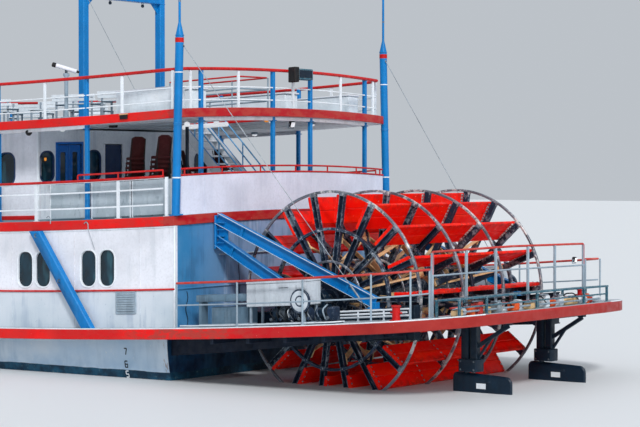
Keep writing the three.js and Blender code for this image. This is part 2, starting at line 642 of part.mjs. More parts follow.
function buildCornerPosts() {
  bothSides((label, side) => {
    const { x, y, r, top, lean, cone, mast } = CORNER;
    const base = bend(box(x - 150, x + 150, ...span(side, y - 140, y + 95),
      SECOND_TOP + GAP, SECOND_TOP + 40));
    const highY = side * (y - lean);
    const foot = [x, side * y, SECOND_TOP + 20 + lift(x, y, SECOND_TOP)];
    const post = bar(foot, [x, highY, top], circle(r, 12));
    const point = drum(r, x, highY, top - 5, top + cone, 12, 30);
    const pole = drum(30, x, highY, top + cone - 80, mast, 8, 18);
    const stayFoot = [STAY.footX, side * STAY.footY, interpolate(BEAM_TOP, STAY.footX) + GAP + 12];
    const stay = bar([x, highY, top - 120], stayFoot, circle(STAY.r, 6));
    rigid(`corner_post_${label}`, join([base, post, point, pole, stay]), "blue");
  });
}

function buildKingPosts() {
  const { x, y, top, half, shoe, beam } = KING;
  const foot = THIRD_TOP + 20 + lift(x, y, THIRD_TOP);
  const shoes = [1, -1].map((side) => bend(upright(x, side * y, shoe, THIRD_TOP + GAP, THIRD_TOP + 40)));
  const posts = [1, -1].map((side) => upright(x, side * y, half, foot, top));
  const cross = box(x - half + 15, x + half - 15, -y - half, y + half, top - beam, top);
  rigid("king_post_frame", join([...shoes, ...posts, cross]), "blue");
}

function buildPilothouse() {
  const { x0, x1, half, high, wall, eaves, roof } = HOUSE;
  const [z0, z1] = [THIRD_TOP + GAP, THIRD_TOP + high];
  const glass = HOUSE_GLASS.map((z) => THIRD_TOP + z);
  const openings = [
    ...HOUSE_FRONT_GLASS_Y.map((y) => box(x1 - 300, x1 + 300, y - 480, y + 480, ...glass)),
    ...HOUSE_SIDE_GLASS_X.map((x) => box(x - 520, x + 520, -half - 300, half + 300, ...glass)),
    box(x0 - 300, x0 + 300, ...HOUSE_AFT_GLASS, ...glass),
    doorway(x0, ...PILOT_DOOR, THIRD_TOP),
    box(x0 + wall, x1 - wall, -half + wall, half - wall, z0 - 10, z1 + 10),
  ];
  bent("pilothouse_walls", cut(box(x0, x1, -half, half, z0, z1), openings), "white");
  bent("pilothouse_roof", box(x0 - eaves, x1 + eaves, -half - eaves, half + eaves,
    z1 + GAP, z1 + roof), "red");
  const deskX = x1 - wall - 300;
  const desk = [[deskX - 400, z0], [deskX, z0], [deskX, z0 + 940], [deskX - 460, z0 + 840]];
  bent("helm_console", sidePlate(desk, -700, 700), "darkBlue");
}

function buildStacks() {
  const [x, y] = STACK_AT;
  bothSides((label, side) => {
    const tube = turned(STACK_PROFILE, x, side * y, THIRD_TOP + 100 + lift(x, y, THIRD_TOP));
    const base = bend(drum(STACK_BASE_R, x, side * y, THIRD_TOP + GAP, THIRD_TOP + 160, 16));
    rigid(`smokestack_${label}`, join([base, tube]), "black");
  });
}

const armTurn = (i) => ((ARM_PHASE_DEG + (360 / WHEEL_ARMS) * i) * Math.PI) / 180;

// A flat plate across the wheel's axle, one frame thick, with an open middle.
function wheelPlate(y, outside, inside) {
  const vectors = (points) => points.map(([x, z]) => new THREE.Vector2(x, z));
  const shape = new THREE.Shape(vectors(outside));
  shape.holes.push(new THREE.Path(vectors(inside)));
  const geometry = new THREE.ExtrudeGeometry(shape, { depth: FRAME_THICK, bevelEnabled: false });
  geometry.rotateX(Math.PI / 2);
  geometry.translate(AXLE_X, y + FRAME_THICK / 2, AXLE_Z);
  return solid(geometry);
}

// A block in the wheel's frame, from one radius to another along arm i.
function alongArm(i, r0, r1, y0, y1, thick, set = 0) {
  const geometry = new THREE.BoxGeometry(r1 - r0, y1 - y0, thick);
  geometry.translate((r0 + r1) / 2, (y0 + y1) / 2, set);
  geometry.rotateY(-armTurn(i));
  geometry.translate(AXLE_X, 0, AXLE_Z);
  return solid(geometry);
}

const eachArm = (make) => Array.from({ length: WHEEL_ARMS }, (_, i) => make(i));

function wheelFrame(y) {
  const ring = (radius) => circle(radius, WHEEL_ARMS, armTurn(0));
  const rings = WHEEL_RINGS.map(([outer, inner]) => wheelPlate(y, ring(outer), ring(inner)));
  const hub = wheelPlate(y, ring(HUB_R), circle(HUB_BORE_R, WHEEL_ARMS));
  const [y0, y1] = [y - FRAME_THICK / 2, y + FRAME_THICK / 2];
  const arms = eachArm((i) => alongArm(i, HUB_R - 60, WHEEL_R - 60, y0, y1, ARM_WIDE));
  return join([hub, ...rings, ...arms]);
}

// The floats lie against the arms, across all four frames.
function wheelBoards() {
  const reach = FRAME_Y[3] + FRAME_THICK / 2;
  const set = -(ARM_WIDE + BOARD_THICK) / 2 + BOARD_BITE;
  return eachArm((i) => alongArm(i, BOARD_IN_R, BOARD_OUT_R, -reach, reach, BOARD_THICK, set));
}

function buildWheel() {
  rigid("paddle_wheel", join([...FRAME_Y.map(wheelFrame), ...wheelBoards()]), "wheelRed");
  const shaft = crossBar(SHAFT_R, AXLE_X, AXLE_Z, -SHAFT_END_Y, SHAFT_END_Y, 36);
  const collars = FRAME_Y.map((y) => {
    const middle = y - Math.sign(y) * (FRAME_THICK / 2 + GAP + COLLAR_WIDE);
    return crossBar(COLLAR_R, AXLE_X, AXLE_Z, middle - COLLAR_WIDE / 2, middle + COLLAR_WIDE / 2);
  });
  rigid("wheel_shaft", join([shaft, ...collars]), "steel");
}

// Each beam runs aft from under the deck, through the well, to carry a bearing.
function buildWheelCarriers() {
  const [low, high] = [BEAM.y - BEAM.wide / 2, BEAM.y + BEAM.wide / 2];
  const [aftX, foreX, hullX] = [BEAM_TOP[0][0], BEAM_TOP.at(-1)[0], HULL[0][0] - GAP];
  const underDeck = MAIN_UNDER + sheer(hullX) - 2 * GAP;
  const beamSide = [[aftX, BEAM.aftLow], ...BEAM_TOP, [foreX, underDeck], [hullX, underDeck],
    [hullX, BEAM.foreLow]];
  bothSides((label, side) => {
    rigid(`wheel_beam_${label}`, sidePlate(beamSide, ...span(side, low, high)), "darkBlue");
    const [y0, y1] = span(side, low + 20, high - 20);
    const block = box(AXLE_X - BEARING_HALF, AXLE_X + BEARING_HALF, y0, y1,
      BEARING_SEAT_Z + GAP, AXLE_Z + BEARING_HALF);
    const bore = crossBar(BEARING_BORE_R, AXLE_X, AXLE_Z, y0 - 50, y1 + 50, 36);
    rigid(`shaft_bearing_${label}`, cut(block, [bore]), "steel");
  });
}

function buildStruts() {
  const wall = aftCurve(SECOND_PLAN[0][1]).map(([x, y]) => [y, x]);
  const face = interpolate(wall, BEAM.y - STRUT.wide / 2) - DECK_LIP - GAP;
  const section = girder(STRUT);
  bothSides((label, side) => {
    const y = side * BEAM.y;
    const [y0, y1] = [y - STRUT.wide / 2, y + STRUT.wide / 2];
    const rods = [UPPER_STRUT, LOWER_STRUT].map(({ topZ, footX, footZ }) => bar(
      [face - 70, y, topZ], [footX, y, footZ], section));
    const plate = box(face - 100, face, y0, y1, ...STRUT_PLATE);
    const shoeX = UPPER_STRUT.footX;
    const shoe = box(shoeX - 70, shoeX + 160, y0, y1, interpolate(BEAM_TOP, shoeX - 70) + GAP + 1,
      UPPER_STRUT.footZ);
    const padX = LOWER_STRUT.footX;
    const pad = box(padX - 90, padX + 160, y0, y1, BEARING_SEAT_Z + 2 * GAP, LOWER_STRUT.footZ + 10);
    rigid(`wheel_strut_${label}`, join([...rods, plate, shoe, pad]), "blue");
  });
}

function buildRudders() {
  const { x, y, r, bore } = STOCK;
  const aft = x - BLADE.aft;
  const aftTop = BLADE.top - BLADE.drop;
  const outline = [[x + BLADE.fore, BLADE.low], [x + BLADE.fore, BLADE.top],
    [aft + BLADE.round, aftTop], [aft, aftTop - BLADE.round], [aft, BLADE.low]];
  bothSides((label, side) => {
    const at = side * y;
    const blade = sidePlate(outline, at - BLADE.thick / 2, at + BLADE.thick / 2);
    const stock = drum(r, x, at, BLADE.low, TILLER.z + TILLER.half);
    const tiller = box(x - TILLER.half, x + TILLER.half, ...span(side, y - TILLER.reach, y),
      TILLER.z - TILLER.half, TILLER.z + TILLER.half);
    rigid(`rudder_${label}`, join([blade, stock, tiller]), "darkBlue");
    const legs = [x, HANGER.secondX].map((legX) => bend(upright(
      legX, at, HANGER.half, HANGER.secondLow, MAIN_UNDER - GAP)));
    const [collarX, collarY] = HANGER.collarHalf;
    const collar = box(HANGER.collarX - collarX, HANGER.collarX + collarX, at - collarY, at + collarY,
      ...HANGER.collarZ);
    const braces = HANGER_BRACES.map(([x0, z0, x1, z1, wide]) => bar(
      [x0, at, z0], [x1, at, z1], square(wide)));
    const pad = bend(box(...HANGER_PAD, at - 80, at + 80, MAIN_UNDER - 60, MAIN_UNDER - GAP));
    const way = drum(bore, x, at, 0, SECOND_TOP, 16);
    rigid(`rudder_hanger_${label}`, cut(join([...legs, collar, ...braces, pad]), [way]), "darkBlue");
  });
}

function buildSternRails() {
  bothSides((label, side) => {
    const path = side > 0 ? STERN_RAIL : mirror(STERN_RAIL);
    bent(`stern_rail_${label}`, railing(path, MAIN_TOP,
      { top: STERN_RAIL_TOP, mids: STERN_RAIL_MIDS, post: 50 }), "grey");
  });
  const across = CATWALK_RAIL_Y.map((y) => [CATWALK_RAIL_X, y]);
  bent("catwalk_rail", railing(across, MAIN_TOP,
    { top: CATWALK_RAIL_TOP, mids: CATWALK_RAIL_MIDS, post: 50 }), "grey");
  const { aft, fore, half, top, thick, leg, mid } = PLATFORM;
  const slab = box(aft, fore, -half, half, MAIN_TOP + top - thick, MAIN_TOP + top);
  const legs = PLATFORM_LEG_Y.flatMap((y) => [aft + leg / 2, fore - leg / 2].map((x) => upright(
    x, y, leg / 2, MAIN_TOP + GAP, MAIN_TOP + top - thick / 2)));
  const brace = box(aft + 10, aft + leg - 10, -half + leg, half - leg,
    MAIN_TOP + mid - 20, MAIN_TOP + mid + 20);
  bent("steering_platform", join([slab, brace, ...legs]), "teal");
}

function buildDeckGear() {
  bothSides((label, side) => {
    const [y0, y1] = span(side, CHEST.y0, CHEST.y1);
    const { inset, wide } = CHEST_LEG;
    const chest = box(CHEST.aft, CHEST.fore, y0, y1, MAIN_TOP + CHEST.low, MAIN_TOP + CHEST.high);
    const duct = box(CHEST.fore - 10, DUCT.fore, ...span(side, DUCT.y0, DUCT.y1),
      MAIN_TOP + DUCT.low, MAIN_TOP + DUCT.high);
    const legX = [CHEST.aft + inset, CHEST.fore - inset - wide];
    const legs = legX.map((x) => box(x, x + wide, y0 + 40, y1 - 40,
      MAIN_TOP + GAP, MAIN_TOP + CHEST.low + 20));
    const stand = box(DUCT.fore - inset - wide, DUCT.fore - inset, ...span(side, DUCT.y0 + 40, DUCT.y1 - 40),
      MAIN_TOP + GAP, MAIN_TOP + DUCT.low + 20);
    bent(`machinery_chest_${label}`, join([chest, duct, ...legs, stand]), "white");
    const { x, y, r, high, capR, cap } = BOLLARD;
    const foot = MAIN_TOP + sheer(x - r) + GAP;
    const post = drum(r, x, side * y, foot, foot + high);
    const top = drum(capR, x, side * y, foot + high - 10, foot + high + cap);
    rigid(`bollard_${label}`, join([post, top]), "red");
    const { footX, topX, wide: deep } = FENDER;
    const [foreFoot, foreTop] = [footX + deep, topX + deep];
    const slope = [[footX, MAIN_TOP + GAP], [foreFoot, MAIN_TOP + GAP], [foreTop, SECOND_UNDER - GAP],
      [topX, SECOND_UNDER - GAP]];
    bent(`fender_beam_${label}`, sidePlate(slope, ...span(side, FENDER.y0, FENDER.y1)), "blue");
  });
  bent("engine_block", box(ENGINE.aft, ENGINE.fore, -ENGINE.half, ENGINE.half,
    MAIN_TOP + GAP, MAIN_TOP + ENGINE.high), "steel");
}

// Gear on the foredeck stands on bent base plates.
function buildForedeckGear() {
  const capstanZ = MAIN_TOP + 60 + sheer(CAPSTAN_X);
  const capstanBase = bend(drum(380, CAPSTAN_X, 0, MAIN_TOP + GAP, MAIN_TOP + 95, 16));
  rigid("capstan", join([capstanBase, turned(CAPSTAN_PROFILE, CAPSTAN_X, 0, capstanZ)]), "darkBlue");
  const { x, r, topR, high, ballR } = JACKSTAFF;
  const staffZ = MAIN_TOP + 20 + sheer(x);
  const staffBase = bend(drum(180, x, 0, MAIN_TOP + GAP, MAIN_TOP + 60, 12));
  const staff = drum(r, x, 0, staffZ, staffZ + high, 12, topR);
  const ball = turned([[0, -ballR], [ballR * 0.8, -ballR * 0.6], [ballR, 0], [ballR * 0.8, ballR * 0.6],
    [0, ballR]], x, 0, staffZ + high, 12);
  rigid("jackstaff", join([staffBase, staff, ball]), "blue");
}

buildHull();
buildMainDeck();
buildUpperDecks();
buildStairs();
buildMainCabin();
buildSaloon();
buildDoors();
buildPillars();
buildAftBulwark();
buildSecondRails();
buildThirdRail();
buildCornerPosts();
buildKingPosts();
buildPilothouse();
buildStacks();
buildWheel();
buildWheelCarriers();
buildStruts();
buildRudders();
buildSternRails();
buildDeckGear();
buildForedeckGear();

ship.scale.setScalar(MODEL_SCALE);
export default ship;
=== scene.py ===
"""A half-size model of a sternwheel excursion paddle boat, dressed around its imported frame."""
import math

import bmesh
import bpy
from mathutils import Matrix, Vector
from mathutils.geometry import delaunay_2d_cdt


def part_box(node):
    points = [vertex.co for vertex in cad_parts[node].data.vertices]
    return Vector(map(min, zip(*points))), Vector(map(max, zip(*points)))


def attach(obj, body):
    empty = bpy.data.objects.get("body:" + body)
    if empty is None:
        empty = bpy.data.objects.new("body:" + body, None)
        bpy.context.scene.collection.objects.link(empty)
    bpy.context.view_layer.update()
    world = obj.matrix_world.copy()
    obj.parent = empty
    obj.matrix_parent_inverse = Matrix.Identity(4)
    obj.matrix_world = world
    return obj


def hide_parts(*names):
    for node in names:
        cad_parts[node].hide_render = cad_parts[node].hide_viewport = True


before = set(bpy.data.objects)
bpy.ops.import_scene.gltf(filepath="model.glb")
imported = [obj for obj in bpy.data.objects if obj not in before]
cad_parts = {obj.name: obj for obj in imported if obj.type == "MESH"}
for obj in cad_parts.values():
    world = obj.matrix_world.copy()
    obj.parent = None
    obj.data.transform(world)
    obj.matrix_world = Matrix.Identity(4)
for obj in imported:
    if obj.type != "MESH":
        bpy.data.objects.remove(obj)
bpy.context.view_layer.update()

# Lengths in this file are the full-size boat's, in metres. The object is a half-size model.
MODEL = 0.5

# Camera, from the photograph's perspective, and the ways the two suns shine.
CAMERA_AT = (-49.014, 45.047, 5.585)
CAMERA_YAW, CAMERA_PITCH = -0.922115, -0.019846
CAMERA_LENS = 112.78
KEY_WAY, FILL_WAY = (0.55, -0.54, -0.62), (0.92, -0.3, -0.22)
FLOOR_HALF = 160.0

# Deck tops and undersides before sheer and camber are added, and where fittings stand on or hang from them.
MAIN_TOP, MAIN_UNDER = 1.165, 0.885
SECOND_TOP, SECOND_UNDER = 4.115, 3.855
THIRD_TOP, THIRD_UNDER = 6.965, 6.725
HAIR = 0.001
MAIN_ON, SECOND_ON, THIRD_ON = MAIN_TOP + HAIR, SECOND_TOP + HAIR, THIRD_TOP + HAIR
MAIN_ROOF, SECOND_ROOF = SECOND_UNDER - HAIR, THIRD_UNDER - HAIR
SHEER_RISE, SHEER_LOW_X = 0.00215, -1.5
CAMBER, CAMBER_HALF = 0.13, 5.5
ARC_STEPS = 5
RAIL_HIGH = 1.07

# Half-beams: x, half-beam.
MAIN_PLAN = [(-22.5, 2.6), (-22.25, 4.0), (-21.7, 4.9), (-20.7, 5.4), (-13.2, 5.5), (-7.0, 5.8), (0, 5.95),
             (5.0, 5.9), (10.0, 5.6), (14.0, 4.7), (17.5, 3.4), (20.0, 2.1), (21.5, 1.0), (22.1, 0.25)]
SECOND_PLAN = [(-13.74, 4.95), (-8.0, 5.25), (-2.0, 5.5), (4.0, 5.5), (9.0, 5.25), (13.0, 4.5), (15.5, 3.45),
               (16.5, 2.5)]
THIRD_PLAN = [(-13.74, 4.72), (-8.0, 5.05), (-2.0, 5.3), (4.0, 5.3), (9.0, 5.0), (12.0, 4.3), (13.5, 3.6)]
SALOON_PLAN = [(-7.7, 3.95), (0, 4.05), (8.0, 3.95), (12.5, 3.2)]
AFT_X, AFT_BULGE, LIP = -13.74, 0.28, 0.05
SALOON_AFT, SALOON_FORE, CABIN_FORE = SALOON_PLAN[0][0], SALOON_PLAN[-1][0], 14.5

# Hull stations: x, half-beam at the deck, half-beam at the chine, chine z, bottom z.
HULL = [(-13.2, 4.6, 4.35, -0.3, -0.38), (-10.0, 4.8, 4.5, -0.7, -0.85), (-6.0, 5.0, 4.65, -0.9, -1.1),
        (-2.0, 5.15, 4.75, -0.95, -1.2), (2.0, 5.15, 4.75, -0.95, -1.2), (6.0, 5.05, 4.6, -0.93, -1.2),
        (10.0, 4.65, 4.05, -0.85, -1.18), (13.0, 3.9, 3.15, -0.7, -1.12), (16.0, 2.75, 1.95, -0.45, -1.02),
        (19.0, 1.35, 0.7, 0.0, -0.78), (20.9, 0.12, 0.06, 0.9, 0.3)]
KEEL = [(-10.5, -0.4), (-10.5, -0.6), (-9.2, -1.3), (12.5, -1.4), (16.5, -1.0), (16.5, -0.6)]

# Paddle wheel.
AXLE_X, AXLE_Z = -17.5, 2.288
WHEEL_R, ARMS, ARM_PHASE = 2.863, 18, 17.6
FRAME_Y = (-2.97, -0.99, 0.99, 2.97)
WELL_AFT, WELL_FORE, WELL_HALF = -20.55, -14.2, 3.62
BEAM_Y, BEAM_WIDE = 3.44, 0.34
BEAM_TOP = [(-20.549, 2.29), (-18.05, 1.985), (-16.95, 1.985), (-14.202, 1.85)]

PILLAR_X = (-10.4, -7.1, -3.8, -0.5, 2.8, 6.1, 9.4)
AFT_PILLAR_Y = (3.77, 0.865, -0.865, -3.77)
RUDDER_X, RUDDER_Y = -21.0, 1.86
SIDES = (("port", 1), ("stbd", -1))
SQUARE = ((0, 0), (1, 0), (1, 1), (0, 1))
UP, ALONG = Vector((0, 0, 1)), (1, 0, 0)


class Curve:
    """A smooth curve through rows of x and value, with no overshoot."""

    def __init__(self, rows):
        self.x, self.y = [row[0] for row in rows], [row[1] for row in rows]
        steps = [(b - a) / (d - c) for a, b, c, d in zip(self.y, self.y[1:], self.x, self.x[1:])]
        inner = [0 if p * q <= 0 else 2 * p * q / (p + q) for p, q in zip(steps, steps[1:])]
        self.slope = [steps[0], *inner, steps[-1]]

    def __call__(self, x):
        x = min(self.x[-1], max(self.x[0], x))
        i = next(n for n in range(len(self.x) - 1) if x <= self.x[n + 1])
        wide = self.x[i + 1] - self.x[i]
        t = (x - self.x[i]) / wide
        return (self.y[i] * (1 + 2 * t) * (1 - t) ** 2 + self.slope[i] * wide * t * (1 - t) ** 2
                + self.y[i + 1] * t * t * (3 - 2 * t) + self.slope[i + 1] * wide * t * t * (t - 1))

    def points(self, side=1, inset=0.0, x0=None, x1=None, step=0.45):
        """Plan points along the curve from x0 to x1."""
        x0, x1 = self.x[0] if x0 is None else x0, self.x[-1] if x1 is None else x1
        knots = [x0, *[x for x in self.x if x0 < x < x1], x1]
        made = []
        for a, b in zip(knots, knots[1:]):
            count = max(2, math.ceil(math.hypot(b - a, self(b) - self(a)) / step))
            made += [a + (b - a) * n / count for n in range(count)]
        return [(x, side * (self(x) - inset)) for x in [*made, x1]]


main_half, second_half, third_half, saloon_half = map(Curve,
                                                      (MAIN_PLAN, SECOND_PLAN, THIRD_PLAN, SALOON_PLAN))
hull_lines = [Curve([(row[0], row[n]) for row in HULL]) for n in range(1, 5)]


def lift(x, y, z):
    """How far sheer and camber raise a point of the flat-built boat."""
    share = min(1, max(0, (z - MAIN_TOP) / (SECOND_UNDER - MAIN_TOP)))
    x = min(22.1, max(-22.5, x))
    return SHEER_RISE * (x - SHEER_LOW_X) ** 2 + share * CAMBER * max(0, 1 - (y / CAMBER_HALF) ** 2)


def up(x, y, z):
    return Vector((x, y, z + lift(x, y, z)))


def bent(point):
    return up(*point)


def straight(point):
    return point


def upright(u, v, y):
    """A point of a flat upright face: u runs along x, v up."""
    return u, y, v


def upright_bent(u, v, y):
    return up(u, y, v)


def level(u, v, z):
    """A point of a flat level face."""
    return u, v, z


def spread(a, b, count):
    return [a + (b - a) * n / count for n in range(count + 1)]


def aft_face(half, y):
    return AFT_X - AFT_BULGE * (1 - (y / half) ** 2)


def aft_points(half, out, y0=None, y1=None):
    y0, y1 = half if y0 is None else y0, -half if y1 is None else y1
    return [(aft_face(half, y) - out, y) for y in spread(y0, y1, 24)]


def arc(points, radius):
    """A path with its corners rounded."""
    points = [Vector(p) for p in points]
    made = [points[0]]
    for before, here, after in zip(points, points[1:], points[2:]):
        a, b = before - here, after - here
        reach = min(radius, a.length / 2.1, b.length / 2.1)
        a, b = here + a.normalized() * reach, here + b.normalized() * reach
        made += [a * (1 - t) ** 2 + here * 2 * t * (1 - t) + b * t * t for t in spread(0, 1, ARC_STEPS)]
    return [*made, points[-1]]


def polar(radius, turn):
    return radius * math.cos(turn), radius * math.sin(turn)


def ring(radius, sides):
    return [polar(radius, 2 * math.pi * n / sides) for n in range(sides)]


def circle(x, y, radius, sides):
    return [(x + a, y + b) for a, b in ring(radius, sides)]


def rect(wide, deep, chamfer=0.006):
    w, d, c = wide / 2, deep / 2, min(chamfer, wide / 3, deep / 3)
    return [(-w, c - d), (c - w, -d), (w - c, -d), (w, c - d), (w, d - c), (w - c, d), (c - w, d),
            (-w, d - c)]


def girder(wide, deep, flange, web):
    w, h, a = wide / 2, deep / 2, web / 2
    return [(-w, -h), (w, -h), (w, flange - h), (a, flange - h), (a, h - flange), (w, h - flange), (w, h),
            (-w, h), (-w, h - flange), (-a, h - flange), (-a, flange - h), (-w, flange - h)]


def rounded(u, v, wide, high, radius, steps=6):
    """A rectangle with round corners, anticlockwise."""
    radius = min(radius, wide / 2 - 1e-4, high / 2 - 1e-4)
    made = []
    for i, j, turn in ((1, 1, 0), (-1, 1, 90), (-1, -1, 180), (1, -1, 270)):
        for n in range(steps + 1):
            a, b = polar(radius, math.radians(turn + 90 * n / steps))
            made.append((u + i * (wide / 2 - radius) + a, v + j * (high / 2 - radius) + b))
    return made


def panel(us, v0, v1):
    """The outline of a wall between two heights."""
    return [(u, v0) for u in us] + [(u, v1) for u in us[::-1]]


def grow(outline, by):
    """An anticlockwise outline moved outwards."""
    made = []
    for i, (x, y) in enumerate(outline):
        (a, b), (c, d) = outline[i - 1], outline[(i + 1) % len(outline)]
        p, q = Vector((y - b, a - x)).normalized(), Vector((d - y, x - c)).normalized()
        way = (p + q).normalized() if (p + q).length > 1e-6 else p
        reach = by / max(0.4, way.dot(p))
        made.append((x + way.x * reach, y + way.y * reach))
    return made


def inside(x, y, outline):
    odd = False
    for (a, b), (c, d) in zip(outline, [*outline[1:], outline[0]]):
        if (b > y) != (d > y) and x < a + (c - a) * (y - b) / (d - b):
            odd = not odd
    return odd


def headings(path, loop):
    """Each point of a path with the directions in and out of it."""
    for i, here in enumerate(path):
        a = (here - path[i - 1]).normalized() if i or loop else None
        b = (path[(i + 1) % len(path)] - here).normalized() if i < len(path) - 1 or loop else a
        yield here, a or b, b


class Piece:
    """One mesh, gathered part by part in full-size metres."""

    def __init__(self, name, body="ship"):
        self.name, self.body = name, body
        self.points, self.faces, self.paints, self.used = [], [], [], []

    def add(self, points, faces, paints):
        """Faces over points, in one paint or in one for each face."""
        paints = [paints] * len(faces) if isinstance(paints, str) else paints
        self.used += [paint for paint in dict.fromkeys(paints) if paint not in self.used]
        base = len(self.points)
        self.points += [Vector(point) for point in points]
        self.faces += [tuple(base + i for i in face) for face in faces]
        self.paints += [self.used.index(paint) for paint in paints]

    def skin(self, rings, paint, loop=False):
        """A skin over closed rings of points, with flat ends unless it is a loop."""
        count, rows = len(rings[0]), len(rings)
        faces = []
        for i in range(rows if loop else rows - 1):
            n = (i + 1) % rows
            for j in range(count):
                k = (j + 1) % count
                faces.append((i * count + j, i * count + k, n * count + k, n * count + j))
        if not loop:
            faces += [tuple(reversed(range(count))), tuple(range((rows - 1) * count, rows * count))]
        self.add([point for points in rings for point in points], faces, paint)

    def sweep(self, path, section, paint, loop=False):
        """A section along a path, mitred and kept upright: points, or a bar's width, depth and chamfer."""
        section = rect(*section) if isinstance(section, tuple) else section
        rings = []
        for here, a, b in headings([Vector(p) for p in path], loop):
            along = (a + b).normalized()
            across = UP.cross(along)
            across = across.normalized() if across.length > 0.05 else Vector((0, 1, 0))
            upward = along.cross(across)
            wide = 1 / max(0.5, along.dot(a))
            flat = abs((b - a).dot(across)) > abs((b - a).dot(upward))
            wide, high = (wide, 1) if flat else (1, wide)
            rings.append([here + across * s * wide + upward * t * high for s, t in section])
        self.skin(rings, paint, loop)

    def bar(self, a, b, section, paint):
        self.sweep([a, b], section, paint)

    def rail(self, path, height, section, paint, loop=False):
        self.sweep([up(x, y, height) for x, y in path], section, paint, loop)

    def tube(self, path, radius, paint, sides=10, loop=False):
        """A round bar along any path."""
        path = [Vector(p) for p in path]
        first = (path[1] - path[0]).normalized()
        side = first.cross(UP if abs(first.z) < 0.9 else Vector(ALONG)).normalized()
        rings = []
        for here, a, b in headings(path, loop):
            along = (a + b).normalized()
            side = (side - along * side.dot(along)).normalized()
            other = along.cross(side)
            rings.append([here + side * s + other * t for s, t in ring(radius, sides)])
        self.skin(rings, paint, loop)

    def pole(self, x, y, low, high, radius, paint, sides=10):
        self.tube([up(x, y, low), up(x, y, high)], radius, paint, sides)

    def block(self, low, high, paint, chamfer=0.008, place=bent):
        """A box with chamfered edges between any two corners, put in its place by a function."""
        low, high = [Vector(tuple(map(pick, low, high))) for pick in (min, max)]
        chamfer = min(chamfer, *[(b - a) / 3 for a, b in zip(low, high)])
        corners = [(i, j, k) for i in (0, 1) for j in (0, 1) for k in (0, 1)]
        points = []
        for corner in corners:
            for axis in range(3):
                points.append(place(Vector([(high if c else low)[n] + (n != axis) * (1 - 2 * c) * chamfer
                                            for n, c in enumerate(corner)])))
        at = {corner: 3 * n for n, corner in enumerate(corners)}
        faces = [tuple(first + n for n in range(3)) for first in at.values()]
        for axis in range(3):
            b, c = (axis + 1) % 3, (axis + 2) % 3
            ends = [[at[tuple({axis: e, b: i, c: j}[n] for n in range(3))] for i, j in SQUARE]
                    for e in (0, 1)]
            faces += [(p + b, q + b, q + c, p + c) for p, q in zip(*ends)]
            faces += [tuple(first + axis for first in end) for end in ends]
        self.add(points, faces, paint)

    def pad(self, x, y, wide, deep, low, high, paint, chamfer=0.008, place=bent):
        """A block about an upright line; wide and deep are its half sizes."""
        self.block((x - wide, y - deep, low), (x + wide, y + deep, high), paint, chamfer, place)

    def lathe(self, profile, base, paint, sides=24, axis=(0, 0, 1)):
        """A turned shape: profile rows are radius and height along the axis."""
        turn, base = Vector(axis).to_track_quat("Z", "Y"), Vector(base)
        self.skin([[base + turn @ Vector((*spot, high)) for spot in ring(radius, sides)]
                   for radius, high in profile], paint)

    def bolt(self, at, axis, radius, paint, high=None):
        high = high or radius * 0.8
        self.lathe([(radius * 1.5, -0.002), (radius * 1.5, high * 0.3), (radius, high * 0.3), (radius, high),
                    (radius * 0.7, high * 1.15)], at, paint, 6, axis)

    def mould(self, at, outline, rows, paint, loop=True):
        """A moulding round an outline: each row says how far it grows and how far out it stands."""
        self.skin([[at(u, v, out) for u, v in grow(outline, by)] for by, out in rows], paint, loop)

    def plate(self, outline, holes, at, front, back, paints, spacing=0.7, edge=0.012):
        """A slab between at(u, v, front) and at(u, v, back); paints are for front, rim and back."""
        paints = (paints,) * 3 if isinstance(paints, str) else paints
        loops = [(outline, -edge), *[(hole, edge) for hole in holes]]
        inner = [grow(points, by) for points, by in loops]
        flat, edges = [], []
        for points in inner:
            base = len(flat)
            flat += points
            edges += [(base + n, base + (n + 1) % len(points)) for n in range(len(points))]
        (u0, v0), (u1, v1) = [[pick(p[n] for p in outline) for n in range(2)] for pick in (min, max)]
        keep_off = [grow(outline, -spacing * 0.35), *[grow(hole, spacing * 0.35) for hole in holes]]

        def held(u, v, shapes):
            return inside(u, v, shapes[0]) and not any(inside(u, v, hole) for hole in shapes[1:])
        rows, columns = math.ceil((v1 - v0) / spacing), math.ceil((u1 - u0) / spacing)
        for i in range(1, columns):
            for j in range(1, rows):
                u, v = u0 + (u1 - u0) * i / columns, v0 + (v1 - v0) * j / rows
                if held(u, v, keep_off):
                    flat.append((u, v))
        made = delaunay_2d_cdt([Vector(p) for p in flat], edges, [], 0, 1e-7)
        spots, count = made[0], len(made[0])
        kept = [tuple(triangle) for triangle in made[2]
                if held(*(sum((spots[i] for i in triangle), Vector((0, 0))) / 3), inner)]
        points = [Vector(at(*p, out)) for out in (front, back) for p in spots]
        faces = kept + [tuple(count + i for i in reversed(triangle)) for triangle in kept]
        named = [paints[0]] * len(kept) + [paints[2]] * len(kept)
        known = {(round(p[0], 6), round(p[1], 6)): i for i, p in enumerate(spots)}
        for (outer, _), loop in zip(loops, inner):
            base = len(points)
            for p in outer:
                top, low = Vector(at(*p, front)), Vector(at(*p, back))
                share = min(0.3, edge / max(1e-4, (top - low).length))
                points += [top.lerp(low, share), top.lerp(low, 1 - share)]
            ids = [known[(round(p[0], 6), round(p[1], 6))] for p in map(Vector, loop)]
            for n in range(len(outer)):
                rows = [[ids[m], base + 2 * m, base + 2 * m + 1, count + ids[m]]
                        for m in (n, (n + 1) % len(outer))]
                faces += [(rows[0][k], rows[0][k + 1], rows[1][k + 1], rows[1][k]) for k in range(3)]
                named += [paints[1]] * 3
        self.add(points, faces, named)

